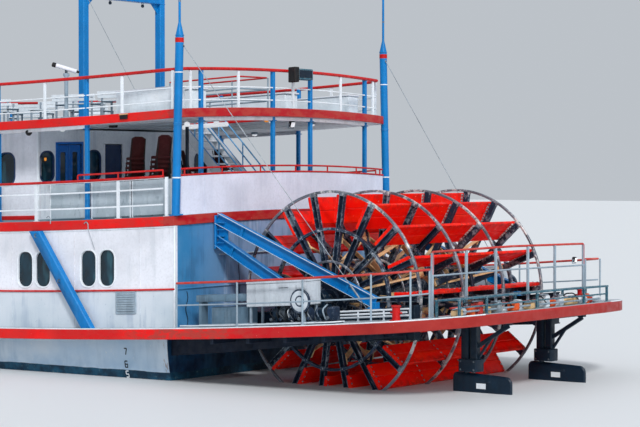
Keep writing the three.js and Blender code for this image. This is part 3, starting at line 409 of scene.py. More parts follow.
    def make(self, *replaces, slot):
        """The finished object, riding on its body in the place of the nodes it replaces."""
        mesh = bpy.data.meshes.new(self.name)
        mesh.from_pydata([point * MODEL for point in self.points], [], self.faces)
        for paint in self.used:
            mesh.materials.append(material(paint))
        mesh.polygons.foreach_set("material_index", self.paints)
        mesh.polygons.foreach_set("use_smooth", [True] * len(self.faces))
        shape = bmesh.new()
        shape.from_mesh(mesh)
        bmesh.ops.recalc_face_normals(shape, faces=shape.faces)
        shape.to_mesh(mesh)
        shape.free()
        mesh.set_sharp_from_angle(angle=math.radians(35))
        piece = bpy.data.objects.new(self.name, mesh)
        bpy.context.scene.collection.objects.link(piece)
        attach(piece, self.body)
        if replaces:
            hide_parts(*replaces)


# Finishes. Each is a node material whose sizes are the full-size boat's metres.
def colour_of(code):
    """A screen colour, written as red, green and blue in hexadecimal, as a shader's linear colour."""
    if not isinstance(code, str):
        return code
    parts = [int(code[n:n + 2], 16) for n in (0, 2, 4)]
    return (*[((v / 255 + 0.055) / 1.055) ** 2.4 if v > 10 else v / 255 / 12.92 for v in parts], 1.0)


def shade(colour, share):
    return (*[min(1.0, v * share) for v in colour_of(colour)[:3]], 1.0)


class Finish:
    def __init__(self, name, roughness=0.5, metallic=0.0, coat=0.0, specular=0.28):
        self.material = bpy.data.materials.new(name)
        self.material.use_nodes = True
        tree = self.material.node_tree
        self.nodes, self.links = tree.nodes, tree.links
        self.shader = tree.nodes["Principled BSDF"]
        for key, value in (("Roughness", roughness), ("Metallic", metallic), ("Coat Weight", coat),
                           ("Specular IOR Level", specular)):
            self.shader.inputs[key].default_value = value
        coords = self.node("ShaderNodeTexCoord").outputs["Object"]
        self.where = self.node("ShaderNodeMapping", {"Vector": coords, "Scale": (1 / MODEL,) * 3}).outputs[0]

    def node(self, kind, values=None, **settings):
        made = self.nodes.new(kind)
        for key, value in settings.items():
            setattr(made, key, value)
        for key, value in (values or {}).items():
            self.feed(made.inputs[key], value)
        return made

    def feed(self, socket, value):
        if isinstance(value, bpy.types.NodeSocket):
            self.links.new(value, socket)
        else:
            socket.default_value = colour_of(value)

    def noise(self, scale, detail=3.0, rough=0.55, shift=0.0, stretch=(1, 1, 1), bend=0.0):
        where = self.node("ShaderNodeMapping", {"Vector": self.where, "Scale": stretch,
                                                "Location": (shift, shift, shift)}).outputs[0]
        return self.node("ShaderNodeTexNoise", {"Vector": where, "Scale": scale, "Detail": detail,
                                                "Roughness": rough, "Distortion": bend}).outputs["Fac"]

    def axis(self, name):
        return self.node("ShaderNodeSeparateXYZ", {"Vector": self.where}).outputs[name]

    def band(self, value, low, high, a=0.0, b=1.0):
        """Where a value, or a noise given by its numbers, passes from low to high."""
        value = self.noise(*value) if isinstance(value, tuple) else value
        ends = {"Value": value, "From Min": low, "From Max": high, "To Min": a, "To Max": b}
        return self.node("ShaderNodeMapRange", ends, interpolation_type="SMOOTHSTEP").outputs[0]

    def sum(self, kind, a, b=0.0):
        made = self.node("ShaderNodeMath", operation=kind)
        for n, value in enumerate((a, b)):
            self.feed(made.inputs[n], self.noise(*value) if isinstance(value, tuple) else value)
        return made.outputs[0]

    def times(self, a, b):
        return self.sum("MULTIPLY", a, b)

    def blend(self, share, a, b):
        made = self.node("ShaderNodeMix", data_type="RGBA")
        for n, value in ((0, share), (6, a), (7, b)):
            self.feed(made.inputs[n], value)
        return made.outputs[2]

    def layers(self, base, *rows):
        """Colours laid over a base: each row is a noise, its band, its share and its colour."""
        for noise, low, high, share, colour in rows:
            base = self.blend(self.band(noise, low, high, 0, share), base, colour)
        return base

    def edges(self, share):
        """Where the surface turns a corner outwards, broken up by a fine noise."""
        soft = self.node("ShaderNodeBevel", {"Radius": 0.02 * MODEL}, samples=3).outputs[0]
        surface = self.node("ShaderNodeNewGeometry").outputs
        turned = self.node("ShaderNodeVectorMath", operation="DOT_PRODUCT")
        self.feed(turned.inputs[0], soft)
        self.feed(turned.inputs[1], surface["Normal"])
        sharp = self.times(self.band(turned.outputs["Value"], 0.99, 0.88, 0, share),
                           self.band(surface["Pointiness"], 0.48, 0.51))
        return self.times(sharp, self.band((9, 4, 0.7, 2), 0.42, 0.56))

    def relief(self, broad, share, fine):
        return self.sum("ADD", self.times(broad, share), fine)

    def finish(self, colour, roughness=None, height=None, strength=0.3, distance=0.002):
        """Feeds the shader; roughness may be a noise and the two values it runs between."""
        if isinstance(roughness, tuple):
            roughness = self.band(roughness[0], 0.3, 0.7, *roughness[1:])
        self.feed(self.shader.inputs["Base Color"], colour)
        if roughness is not None:
            self.feed(self.shader.inputs["Roughness"], roughness)
        bump = self.node("ShaderNodeBump", {"Height": height, "Strength": strength, "Distance": distance})
        self.feed(self.shader.inputs["Normal"], bump.outputs[0])


GRIME, RUST, PRIMER = "605c54", "7e3e20", "969c9e"


def worn(name, colour, faded=None, under=PRIMER, grime=GRIME, fade=0.35, streaks=0.35, chips=0.5, edge=0.5,
         gloss=0.32, dull=0.6):
    """Weathered paint: patchy, streaked with grime, chipped and rubbed along its edges."""
    f = Finish(name)
    base = f.layers(shade(colour, 0.88), ((0.7, 3), 0.3, 0.72, 1, shade(colour, 1.1)),
                    ((2.3, 5, 0.62, 7), 0.5, 0.74, fade, faded or shade(colour, 1.35)),
                    ((14, 5, 0.65, 3), 0.42, 0.74, 0.35, shade(colour, 0.72)))
    dirt = f.band(f.times((4.5, 4, 0.62, 0, (1, 1, 0.07)), (0.9, 3, 0.55, 5)), 0.24, 0.4, 0, streaks)
    spots = f.band((19, 7, 0.72, 11), 0.63, 0.67, 0, chips)
    base = f.blend(spots, f.blend(dirt, base, grime), under)
    base = f.blend(f.edges(edge), base, under)
    rough = f.sum("ADD", f.band((6, 5, 0.6, 9), 0.3, 0.7, gloss, dull), f.times(dirt, 0.3))
    height = f.sum("SUBTRACT", f.relief((1.6, 2, 0.4), 1.6, (40, 4, 0.6)), f.times(spots, 1.2))
    f.finish(base, rough, height, 0.25, 0.0025)


def hull_paint(name):
    """White topsides over a dark boot top, a stained waterline and red-brown bottom paint, with the transom
    in painted shade.
    """
    f = Finish(name)
    z = f.sum("ADD", f.axis("Z"), f.times(f.band((1.2, 3), 0, 1, -1, 1), 0.03))
    runs = f.times((3.2, 5, 0.65, 0, (1, 1, 0.1)), (0.7, 3, 0.55, 4))
    white = f.layers("b2cee6", ((0.6, 4), 0.3, 0.7, 1, "d4e2ee"),
                     (runs, 0.24, 0.38, 0.35, "96b4cc"),
                     ((12, 7, 0.72, 8, (1, 1, 0.35)), 0.62, 0.68, 0.7, "e8ecec"))
    low = f.times(f.band(z, 0.2, 0.75, 0.35, 0), f.band((2.2, 4, 0.55, 6), 0.35, 0.65))
    white = f.blend(low, white, "7ca6c8")
    boot = f.layers("0a2c42", ((3, 5), 0.35, 0.7, 1, "185470"), ((9, 6, 0.7, 4), 0.6, 0.68, 0.8, "5a787c"))
    weed = f.layers("461a14", ((5, 5, 0.7, 2), 0.4, 0.6, 1, "3a422c"))
    # The transom aft of the hull's side is painted dark blue as painted shade under the overhanging deck.
    stern = f.layers("08223e", ((2.2, 5, 0.65), 0.35, 0.7, 1, "144268"), (runs, 0.24, 0.38, 0.5, "305c7a"))
    white = f.blend(f.band(f.axis("X"), -13.19, -13.18), stern, white)
    scratch = f.times((9, 5, 0.7, 3, (1, 1, 0.12)), f.band(f.axis("X"), -12.5, -13.1))
    scratch = f.times(f.band(scratch, 0.52, 0.6, 0, 0.8), f.band(f.axis("X"), -13.18, -13.17))
    base = f.blend(f.band(z, 0.21, 0.225), boot, f.blend(scratch, white, "967a64"))
    base = f.blend(f.band(z, -0.06, 0.0), weed, base)
    seams = f.node("ShaderNodeTexWave", {"Vector": f.where, "Scale": 0.21, "Distortion": 0.0},
                   bands_direction="X", wave_profile="SAW").outputs["Fac"]
    height = f.sum("ADD", f.relief((0.9, 2, 0.4), 3.0, (34, 4)), f.band(seams, 0.96, 1.0, 0, 1.5))
    f.finish(base, ((7, 5), 0.35, 0.62), height, 0.4, 0.003)


def deck_paint(name, colour, worn_to):
    """Gritty non-slip paint, scuffed pale where feet pass."""
    f = Finish(name)
    grit = f.noise(85, 2, 0.5)
    base = f.layers(shade(colour, 0.9), ((0.8, 4), 0.3, 0.7, 1, shade(colour, 1.1)),
                    ((2.1, 6, 0.66, 5), 0.48, 0.7, 0.6, worn_to), ((5.5, 6, 0.7, 9), 0.57, 0.72, 0.5, GRIME),
                    (grit, 0.4, 0.66, 0.25, shade(colour, 0.6)))
    f.finish(base, ((3, 4, 0.55, 2), 0.55, 0.85), f.sum("ADD", grit, (1.3, 2)), 0.5, 0.003)


def low_wall(name):
    """The wall under the rub strip: bluer and darker than the wall above, streaked and spotted."""
    f = Finish(name)
    runs = f.times((4.5, 4, 0.62, 0, (1, 1, 0.08)), (0.9, 3, 0.55, 5))
    base = f.layers("becad4", ((0.7, 4), 0.3, 0.7, 1, "d0d8e0"),
                    (runs, 0.24, 0.4, 0.5, "94a6bc"),
                    ((16, 7, 0.74, 6, (1, 1, 0.5)), 0.62, 0.67, 0.6, "7c92a8"))
    base = f.blend(f.edges(0.4), base, PRIMER)
    f.finish(base, ((6, 5), 0.35, 0.65), f.relief((1.5, 2, 0.4), 2, (36, 4)), 0.3, 0.003)


def glass(name, tint):
    f = Finish(name, roughness=0.06, specular=0.4)
    # The lighter patches across the dark pane and the pale streaks are painted reflections.
    base = f.layers(shade(tint, 0.45), ((1.3, 3, 0.6, 3, (1, 1, 0.6)), 0.35, 0.7, 1, shade(tint, 1.7)),
                    ((3.2, 2, 0.5, 0, (1, 1, 0.3)), 0.58, 0.7, 0.35, "3c7482"))
    f.finish(base, f.band((6, 4), 0.45, 0.8, 0.04, 0.16), f.noise(0.8, 1), 0.04, 0.004)


def bulkhead(name):
    """The aft bulkhead: white paint in blue-grey painted shade, bluer at the sides as painted reflection,
    streaked from its upper edge.
    """
    f = Finish(name)
    side = f.sum("ABSOLUTE", f.axis("Y"))
    runs = f.times((5, 5, 0.65, 0, (1, 1, 0.06)), (1.0, 2, 0.55, 3))
    # The blue-grey ground is painted shade and the deeper blue towards the sides is painted reflection; the
    # runs are streaks.
    base = f.layers("96a8c8", (side, 1.2, 4.8, 1, "2c78aa"),
                    ((1.1, 4), 0.35, 0.7, 0.5, "6090b8"), (runs, 0.24, 0.36, 0.5, "386286"),
                    ((4, 5, 0.65, 9, (1, 1, 0.08)), 0.58, 0.7, 0.4, "b0c4d8"))
    f.finish(base, ((5, 4), 0.4, 0.65), f.relief((1.2, 2, 0.4), 2, (36, 4)), 0.35, 0.003)


def screen(name):
    """A wind screen of clouded plastic sheet."""
    f = Finish(name, coat=0.3)
    where = f.node("ShaderNodeMapping", {"Vector": f.where, "Scale": (1, 1, 0.45)}).outputs[0]
    cells = f.node("ShaderNodeTexVoronoi", {"Vector": where, "Scale": 3.4, "Randomness": 0.9},
                   distance="CHEBYCHEV").outputs["Color"]
    tone = f.node("ShaderNodeSeparateColor", {"Color": cells}).outputs[0]
    base = f.layers(f.blend(tone, "a0aeb6", "b4c0c8"),
                    ((2.6, 5, 0.6), 0.38, 0.7, 0.8, "a8b4be"),
                    ((8, 5, 0.7, 4, (1, 1, 0.35), 0.6), 0.57, 0.7, 0.7, "7e8c96"))
    f.finish(base, ((5, 3), 0.18, 0.42), f.noise(1.8, 3), 0.5, 0.006)


def wheel_red(name):
    """Bright board paint: scraped along the edges, stained where the water leaves it."""
    f = Finish(name, specular=0.12)
    x, z = f.sum("SUBTRACT", f.axis("X"), AXLE_X), f.sum("SUBTRACT", f.axis("Z"), AXLE_Z)
    far = f.sum("SQRT", f.sum("ADD", f.times(x, x), f.times(z, z)))
    grain = f.noise(10, 6, 0.65, 4, (1, 0.08, 1))
    base = f.layers("f60a01", ((0.9, 4), 0.3, 0.7, 1, "ff1603"),
                    ((3, 6, 0.66, 6, (1, 0.35, 1)), 0.48, 0.72, 0.6, "ff3a0e"),
                    (grain, 0.56, 0.72, 0.4, "aa0e0e"))
    rim = f.times(f.band(far, 2.5, 2.78), f.band((5, 5, 0.7, 3), 0.4, 0.62, 0, 0.55))
    chips = f.band((15, 7, 0.75, 12, (1, 0.5, 1)), 0.64, 0.68, 0, 0.75)
    base = f.blend(chips, f.blend(rim, base, "782822"), "cebeb2")
    base = f.blend(f.edges(0.3), base, "de7860")
    f.finish(base, ((5, 5), 0.3, 0.6), f.sum("ADD", grain, f.times(chips, -1.5)), 0.4, 0.003)


def tarnished(name, colour, marks, share=0.5, metallic=0.4):
    """Dark painted steel scraped to pale metal and spotted with rust."""
    f = Finish(name, metallic=metallic)
    scrape = f.times((7, 6, 0.7, 5), (1.5, 3, 0.55, 8))
    base = f.layers(shade(colour, 0.6), ((1.6, 5), 0.3, 0.7, 1, shade(colour, 1.35)),
                    (scrape, 0.27, 0.34, share, marks), ((10, 6, 0.7, 14), 0.62, 0.7, 0.8, RUST))
    base = f.blend(f.edges(0.7), base, shade(marks, 0.9))
    f.finish(base, ((8, 5), 0.35, 0.7), f.noise(24, 5, 0.65), 0.35, 0.002)


def lamp_glow(name, colour, strength):
    f = Finish(name, roughness=0.2, coat=0.4)
    f.shader.inputs["Emission Color"].default_value = colour_of(colour)
    f.shader.inputs["Emission Strength"].default_value = strength
    f.finish(f.layers(shade(colour, 0.8), ((30, 3), 0.3, 0.7, 1, colour)), None, f.noise(60), 0.1)


def wave_red(name):
    """Deck-edge red: brighter and chalky in places, darker where fenders rub, and darkened along its aft runs
    as painted shade.
    """
    f = Finish(name)
    x = f.axis("X")
    high = f.band(f.axis("Z"), 2.0, 2.2)
    low = f.sum("SUBTRACT", 1.0, high)
    base = f.layers("ce060a", ((0.45, 4), 0.35, 0.65, 1, "ec0c08"))
    # The aft run of the upper decks' bands is a darker crimson: painted shade on the faces that look aft.
    base = f.blend(f.times(f.times(high, f.band(x, -13.36, -13.42)), 0.75), base, "960c1e")
    # The main deck's band darkens towards the stern, partly as faded paint and partly as painted shade.
    base = f.blend(f.times(low, f.band(x, -15.0, -17.2, 0, 0.7)), base, "b80818")
    base = f.blend(f.times(low, f.band(x, -18.6, -20.8, 0, 0.9)), base, "92221c")
    rubbed = f.sum("ADD", 0.25, f.times(f.times(f.band(x, -12.0, -13.6), f.band(x, -17.4, -15.6)), 0.7))
    rubbed = f.times(rubbed, f.band((1.9, 6, 0.7, 5, (1, 1, 2.2)), 0.42, 0.56))
    base = f.layers(f.blend(rubbed, base, "b03830"),
                    ((8, 6, 0.7, 9, (0.6, 0.6, 1.6)), 0.58, 0.72, 0.5, "8c1216"),
                    ((17, 7, 0.74, 2), 0.67, 0.7, 0.7, "e2beb4"))
    base = f.blend(f.edges(0.2), base, "d86e5c")
    f.finish(base, ((5, 5), 0.28, 0.6), f.relief((1.4, 2, 0.4), 2, (30, 4)), 0.35, 0.003)


# Each material's maker and its arguments; for worn paint the colours are new, faded, chipped and dirty.
MATERIALS = {
    "hull": (hull_paint,),
    "white": (worn, "e2e4ec", "e8e8ec", "968270", "b0b8c0", 0.4, 0.3, 0.2, 0.25),
    "white_low": (low_wall,),
    # The bulwark's bluer white is the white paint given painted sky-lit shade on its aft face.
    "bulwark": (worn, "d8dcec", "e2e6f2", "a0a0b2", "b2b8ce", 0.35, 0.25, 0.1, 0.25),
    "trim": (worn, "e6ecf2", None, PRIMER, "96a0a6", 0.3, 0.2, 0.25, 0.3),
    "soffit": (worn, "e8e8ee", "f2f0f2", "8c8480", "968e8c", 0.4, 0.25, 0.12, 0.12, 0.45, 0.7),
    # The near-black underside of the main deck and its beams is painted shade.
    "underside": (worn, "0a182c", "142c46", "3c464e", "080c14", 0.4, 0.4, 0.3, 0.3, 0.5, 0.8),
    "bulkhead": (bulkhead,),
    "saloon_aft": (worn, "e8eef8", "f0f4fa", "b4bec6", "b0bccc", 0.5, 0.4, 0.12, 0.2),
    "red": (wave_red,),
    "rail_red": (worn, "c40a0e", "d22420", "d8968a", "681216", 0.4, 0.3, 0.4, 0.3),
    "wheel_red": (wheel_red,),
    # The blue's pale-blue chip colour also runs along its edges, partly as wear and partly as a painted
    # highlight.
    "blue": (worn, "0078be", "0886d0", "56a4d6", "064680", 0.3, 0.25, 0.2, 0.55, 0.28, 0.5),
    "pale_blue": (worn, "60b0e6", "96ceee", "dce8ee", "3c6e96", 0.4, 0.2, 0.5, 0.6),
    "door": (worn, "0468c2", "107cd0", "7896b4", "083870", 0.3, 0.25, 0.2, 0.5),
    "dark_door": (worn, "14325c", "204470", "5a6478", "0c1020", 0.3, 0.25, 0.2, 0.5),
    "grey_deck": (deck_paint, "b0bcc4", "d0d6d8"),
    "teal_deck": (deck_paint, "78929e", "a4b2b8"),
    "grey": (worn, "96a8b6", "bac6ce", "686460", "5c6c76", 0.4, 0.35, 0.5, 0.5),
    "teal": (worn, "285c70", "548494", "c4cecc", "284c54", 0.5, 0.35, 0.6, 0.6),
    "dark_blue": (worn, "061e30", "0c2e44", "5a707c", "04101a", 0.5, 0.35, 0.2, 0.4, 0.3, 0.6),
    "wheel_dark": (tarnished, "26364c", "acbac6", 0.6),
    "wheel_ring": (tarnished, "6e7480", "e2dedc", 0.8),
    "cleat": (tarnished, "b01816", "deccc6", 0.9, 0.1),
    "steel": (tarnished, "606a74", "b0b6ba", 0.5, 0.8),
    "galvanised": (tarnished, "96a0a8", "ced4d8", 0.4, 0.7),
    "cream": (worn, "e2be8c", "ecd6b2", "965428", "845432", 0.5, 0.5, 0.7, 0.6),
    "black": (worn, "16181c", "282a2e", "5c3c2c", "34302e", 0.5, 0.5, 0.5, 0.4, 0.45, 0.75),
    "rubber": (worn, "14181e", "2c3036", "3c3e42", "222222", 0.5, 0.4, 0.2, 0.2, 0.6, 0.85),
    "glass": (glass, "082a38"),
    "screen": (screen,),
    "maroon": (worn, "4e2022", "68302c", "3c1e1e", "281416", 0.5, 0.1, 0.1, 0.1, 0.7, 0.95),
    "seat_grey": (worn, "8c98a4", "acb4bc", "c4c8cc", "626a72", 0.4, 0.2, 0.2, 0.3, 0.5, 0.75),
    # The duct's darker blue-grey is the grey paint given painted shade.
    "duct": (worn, "648094", "8498a6", "5a6064", "3c5060", 0.5, 0.5, 0.4, 0.4),
    "chest": (worn, "c6ced6", "d8dee2", "787a7c", "828e96", 0.4, 0.4, 0.3, 0.4, 0.25, 0.5),
    "faded_red": (worn, "c4362e", "d46e62", "e0c4bc", "782c28", 0.6, 0.3, 0.5, 0.4),
    "orange": (worn, "e25416", "f0823c", "dcd2c8", "823c1e"),
    "amber": (lamp_glow, "f09632", 0.5),
    "lamp": (lamp_glow, "ecf0f4", 0.6),
}


def material(name):
    """The finish of that name, made once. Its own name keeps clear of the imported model's materials."""
    title = f"{name}_finish"
    if title not in bpy.data.materials:
        MATERIALS[name][0](title, *MATERIALS[name][1:])
    return bpy.data.materials[title]


# Things that many parts use.
def window(piece, at, outline, thick, trim="trim"):
    """A framed pane in a wall; at(u, v, out) gives a point out from the wall's face."""
    rows = [(0.034, -0.002), (0.034, 0.014), (0.024, 0.022), (0.002, 0.022), (-0.012, 0.008),
            (-0.012, -thick - 0.01), (0.03, -thick - 0.01), (0.03, -thick + 0.002)]
    piece.mould(at, outline, rows, trim)
    piece.mould(at, outline, [(-0.006, -0.045), (-0.006, -0.058)], "glass", False)


def wall(piece, at, outline, openings, thick, paints, spacing=0.8, trim="trim"):
    """A wall with windows: openings are outlines, each with True where it holds a pane."""
    piece.plate(outline, [shape for shape, _ in openings], at, 0, -thick, paints, spacing, 0.003)
    for shape, paned in openings:
        if paned:
            window(piece, at, shape, thick, trim)


def post(piece, x, y, low, high, paint, wide, deep, foot=True):
    """A flat-bar stanchion on a small base plate."""
    piece.pad(x, y, wide / 2, deep / 2, low, high, paint, 0.005)
    if foot:
        piece.pad(x, y, wide * 0.9, deep, low - 0.002, low + 0.014, paint, 0.004)


def ring_path(centre, radius, axis, count):
    turn = Vector(axis).to_track_quat("Z", "Y")
    return [Vector(centre) + turn @ Vector((*spot, 0)) for spot in ring(radius, count)]


def flood_lamp(piece, at, facing, size):
    """A box lamp in a yoke."""
    turn, here = Vector(facing).to_track_quat("Y", "Z"), Vector(at)
    for low, high, paint, chamfer in (((-0.5, -0.35, -0.5), (0.5, 0.35, 0.5), "black", size * 0.1),
                                      ((-0.42, 0.33, -0.42), (0.42, 0.39, 0.42), "lamp", size * 0.04),
                                      ((-0.62, -0.1, -0.75), (-0.54, 0.1, 0.1), "grey", 0.003),
                                      ((0.54, -0.1, -0.75), (0.62, 0.1, 0.1), "grey", 0.003),
                                      ((-0.62, -0.1, -0.8), (0.62, 0.1, -0.72), "grey", 0.003)):
        piece.block([size * n for n in low], [size * n for n in high], paint, chamfer, lambda p: here
                    + turn @ p)


def repaint(node, paint):
    """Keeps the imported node's own shape and changes its material."""
    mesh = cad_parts[node].data
    mesh.materials.clear()
    mesh.materials.append(material(paint))


def build_hull():
    piece = Piece("hull_plating")
    rings = []
    for x, _ in hull_lines[0].points(step=0.5):
        deck, chine, chine_z, bottom = [line(x) for line in hull_lines]
        top = MAIN_UNDER - HAIR + lift(x, 0, 0)
        half = [(deck + (chine - deck) * t * t, top + (chine_z - top) * t) for t in spread(0, 1, 8)]
        half += [(chine * 0.97, chine_z - (chine_z - bottom) * 0.12),
                 (chine * 0.6, bottom * 0.55 + chine_z * 0.45), (chine * 0.25, bottom)]
        rings.append([(x, y, z) for y, z in half] + [(x, -y, z) for y, z in reversed(half)])
    piece.skin(rings, "hull")
    piece.plate(KEEL, [], upright, 0.08, -0.08, "hull", 1.5, 0.01)
    build_draft_marks(piece)
    piece.make("hull", slot="hull_white")


# Plain draft numbers, as strokes on a grid two wide and four high.
DIGITS = {"5": [(2, 4, 0, 4), (0, 4, 0, 2), (0, 2, 2, 2), (2, 2, 2, 0), (2, 0, 0, 0)],
          "6": [(2, 4, 0, 4), (0, 4, 0, 0), (0, 0, 2, 0), (2, 0, 2, 2), (2, 2, 0, 2)],
          "7": [(0, 4, 2, 4), (2, 4, 1, 0)]}
DRAFT_ROWS = (("7", 0.645, "rubber"), ("6", 0.295, "rubber"), ("5", 0.02, "trim"))
DIGIT_SIZE = 0.0425


def build_draft_marks(piece):
    for side in (1, -1):
        for x0 in (-11.74, 15.6):
            for digit, z0, paint in DRAFT_ROWS:
                chine_z, top = hull_lines[2](x0), MAIN_UNDER + lift(x0, 0, 0)

                def spot(u, v):
                    x, z = x0 - side * (u - 1) * DIGIT_SIZE, z0 + v * DIGIT_SIZE
                    deck, chine = hull_lines[0](x), hull_lines[1](x)
                    t = (z - top) / (chine_z - top)
                    return Vector((x, side * (deck + (chine - deck) * t * t + 0.004), z))
                for a, b, c, d in DIGITS[digit]:
                    piece.bar(spot(a, b), spot(c, d), (0.012, 0.032, 0.003), paint)


def deck_outline(half, aft):
    """Round a deck's plan, anticlockwise from its aft starboard corner."""
    return [*half.points(-1), *half.points(1)[::-1], *aft]


def build_main_deck():
    piece = Piece("main_deck_plating")
    well = [(WELL_AFT, -WELL_HALF), (WELL_FORE, -WELL_HALF), (WELL_FORE, WELL_HALF), (WELL_AFT, WELL_HALF)]
    holes = [well, *[circle(RUDDER_X, side * RUDDER_Y, 0.095, 16) for side in (1, -1)]]
    piece.plate(deck_outline(main_half, []), holes, up, MAIN_TOP, MAIN_UNDER,
                ("grey_deck", "red", "underside"), 0.6, 0.016)
    for side in (1, -1):
        edge = main_half.points(side, 0.03, -22.4, 21.6)
        piece.sweep([up(x, y, MAIN_TOP + 0.006) for x, y in edge], (0.06, 0.03, 0.01), "trim")
    for x in (-15.4, -16.6, -17.8, -19.0, -20.2):
        for side in (1, -1):
            low, high = sorted((side * 3.66, side * (main_half(x) - 0.1)))
            piece.block((x - 0.05, low, MAIN_UNDER - 0.14), (x + 0.05, high, MAIN_UNDER + 0.002), "underside",
                        0.008)
    piece.make("main_deck", slot="deck_grey")


def build_upper_deck(name, half, top, under, holes, replaced):
    piece = Piece(name)
    aft = aft_points(half(AFT_X), LIP)[1:-1]
    piece.plate(deck_outline(half, aft), holes, up, top, under, ("teal_deck", "red", "soffit"), 0.6, 0.014)
    front = half.x[-1]
    for x in [AFT_X + 1.1 + 1.22 * n for n in range(int((front - AFT_X - 1.5) / 1.22))]:
        reach = half(x) - 0.08
        spans = [(-reach, reach)]
        for hole in holes:
            us, vs = [p[0] for p in hole], [p[1] for p in hole]
            if min(us) - 0.05 < x < max(us) + 0.05 and max(vs) > -4 and min(vs) < 4:
                spans = [(-reach, min(vs) - 0.04), (max(vs) + 0.04, reach)]
        for low, high in spans:
            piece.sweep([up(x, low + (high - low) * n / 12, under - 0.004) for n in range(13)],
                        (0.045, 0.014, 0.004), "trim")
    for y in (-3.0, -1.5, 0.0, 1.5, 3.0):
        if not any(min(p[1] for p in hole) < y < max(p[1] for p in hole) for hole in holes):
            path = [(AFT_X + 0.1 + 0.9 * n, y) for n in range(int((front - AFT_X - 0.4) / 0.9))]
            piece.rail(path, under - 0.004, (0.035, 0.012, 0.004), "trim")
    piece.make(replaced, slot="red_paint")


HATCH = [(-12.6, -0.37), (-10.1, -0.37), (-10.1, 0.87), (-12.6, 0.87)]


def build_upper_decks():
    build_upper_deck("second_deck_plating", second_half, SECOND_TOP, SECOND_UNDER, [], "second_deck")
    build_upper_deck("third_deck_plating", third_half, THIRD_TOP, THIRD_UNDER, [HATCH], "third_deck")


def side_face(half, inset, side):
    """The outer face of a long wall: u runs along x, v up."""
    return lambda u, v, out: up(u, side * (half(u) - inset + out), v)


def cross_face(x, way):
    """A wall across the boat: u runs along y, v up, and the face looks along way."""
    return lambda u, v, out: up(x + way * out, u, v)


SLATS = 9


def louvre(piece, at, u0, u1, v0, v1):
    """Angled slats in a frame."""
    for a, b, c, d in ((u0, v0, u1, v0), (u0, v1, u1, v1), (u0, v0, u0, v1), (u1, v0, u1, v1)):
        piece.sweep([at(a, b, 0.01), at(c, d, 0.01)], (0.04, 0.04, 0.008), "grey")
    for n in range(SLATS):
        v = v0 + (v1 - v0) * (n + 0.5) / SLATS
        high = (v1 - v0) / SLATS * 0.42
        rows = [[at(u, v + high, 0.002), at(u, v + high - 0.012, 0.002), at(u, v - high - 0.012, 0.03),
                 at(u, v - high, 0.03)] for u in (u0, u1)]
        piece.skin(rows, "grey")


STRIP_Z = 2.18
DOOR_LOW, DOOR_TOP = 0.1, 2.15
PORT_PAIRS = [-11.05 + 2.32 * n for n in range(11)]
GANGWAY_AT = 5


def build_cabin_sides():
    for label, side in SIDES:
        at = side_face(second_half, LIP, side)
        z0, z1 = MAIN_ON, MAIN_ROOF
        x0, x1 = AFT_X, CABIN_FORE
        spots = [x + d for n, x in enumerate(PORT_PAIRS) if n != GANGWAY_AT for d in (-0.33, 0.33)]
        openings = [(rounded(x, 2.79, 0.55, 0.99, 0.23), True) for x in spots]
        piece = Piece(f"main_cabin_{label}_plating")
        xs = [x for x, _ in second_half.points(1, 0, x0, x1, 0.7)]
        wall(piece, at, panel(xs, STRIP_Z, z1), openings, 0.1, "white")
        wall(piece, at, panel(xs, z0, STRIP_Z), [], 0.1, ("white_low", "white_low", "white"))
        piece.sweep([at(x, STRIP_Z, 0.012) for x in xs], (0.06, 0.05, 0.015), "rail_red")
        piece.sweep([at(x, z1 - 0.02, 0.008) for x in xs], (0.03, 0.04, 0.008), "trim")
        for x in [x0 + 1.2 + 2.32 * n for n in range(12)]:
            piece.sweep([at(x, z0, 0.003), at(x, STRIP_Z - 0.03, 0.003)], (0.02, 0.008, 0.003), "white_low")
            if all(abs(x - spot) > 0.35 for spot in spots):
                piece.sweep([at(x, STRIP_Z + 0.03, 0.003), at(x, z1, 0.003)], (0.02, 0.008, 0.003), "white")
        louvre(piece, at, -12.39, -11.72, 1.56, 2.13)
        louvre(piece, at, 7.4, 8.4, 1.56, 2.11)
        build_gangway(piece, at, PORT_PAIRS[GANGWAY_AT])
        piece.tube([at(x0 + 0.02, z, 0.0) for z in (z0, (z0 + z1) / 2, z1)], 0.03, "trim", 12)
        piece.make(f"main_cabin_{label}_wall", slot="white_paint")


def build_gangway(piece, at, x):
    """A shut boarding door of two leaves, standing a little proud of the wall."""
    outline = rounded(x, 2.22, 1.9, 2.0, 0.12)
    piece.mould(at, outline, [(0.06, 0.0), (0.06, 0.03), (0.0, 0.03), (0.0, 0.0)], "trim")
    for d in (-0.48, 0.48):
        leaf = rounded(x + d, 2.22, 0.93, 1.96, 0.1)
        hole = rounded(x + d, 2.8, 0.4, 0.5, 0.2)
        piece.plate(leaf, [hole], at, 0.022, 0.001, "door", 0.5, 0.004)
        window(piece, lambda u, v, out: at(u, v, 0.022 + out * 0.35), hole, 0.05)
        piece.bar(at(x + d * 0.25, 2.05, 0.06), at(x + d * 0.25, 2.3, 0.06), (0.025, 0.025), "steel")
        for z in (1.5, 2.3, 2.95):
            piece.bar(at(x + d * 1.95, z, 0.03), at(x + d * 1.95, z + 0.14, 0.03), ring(0.02, 8), "steel")


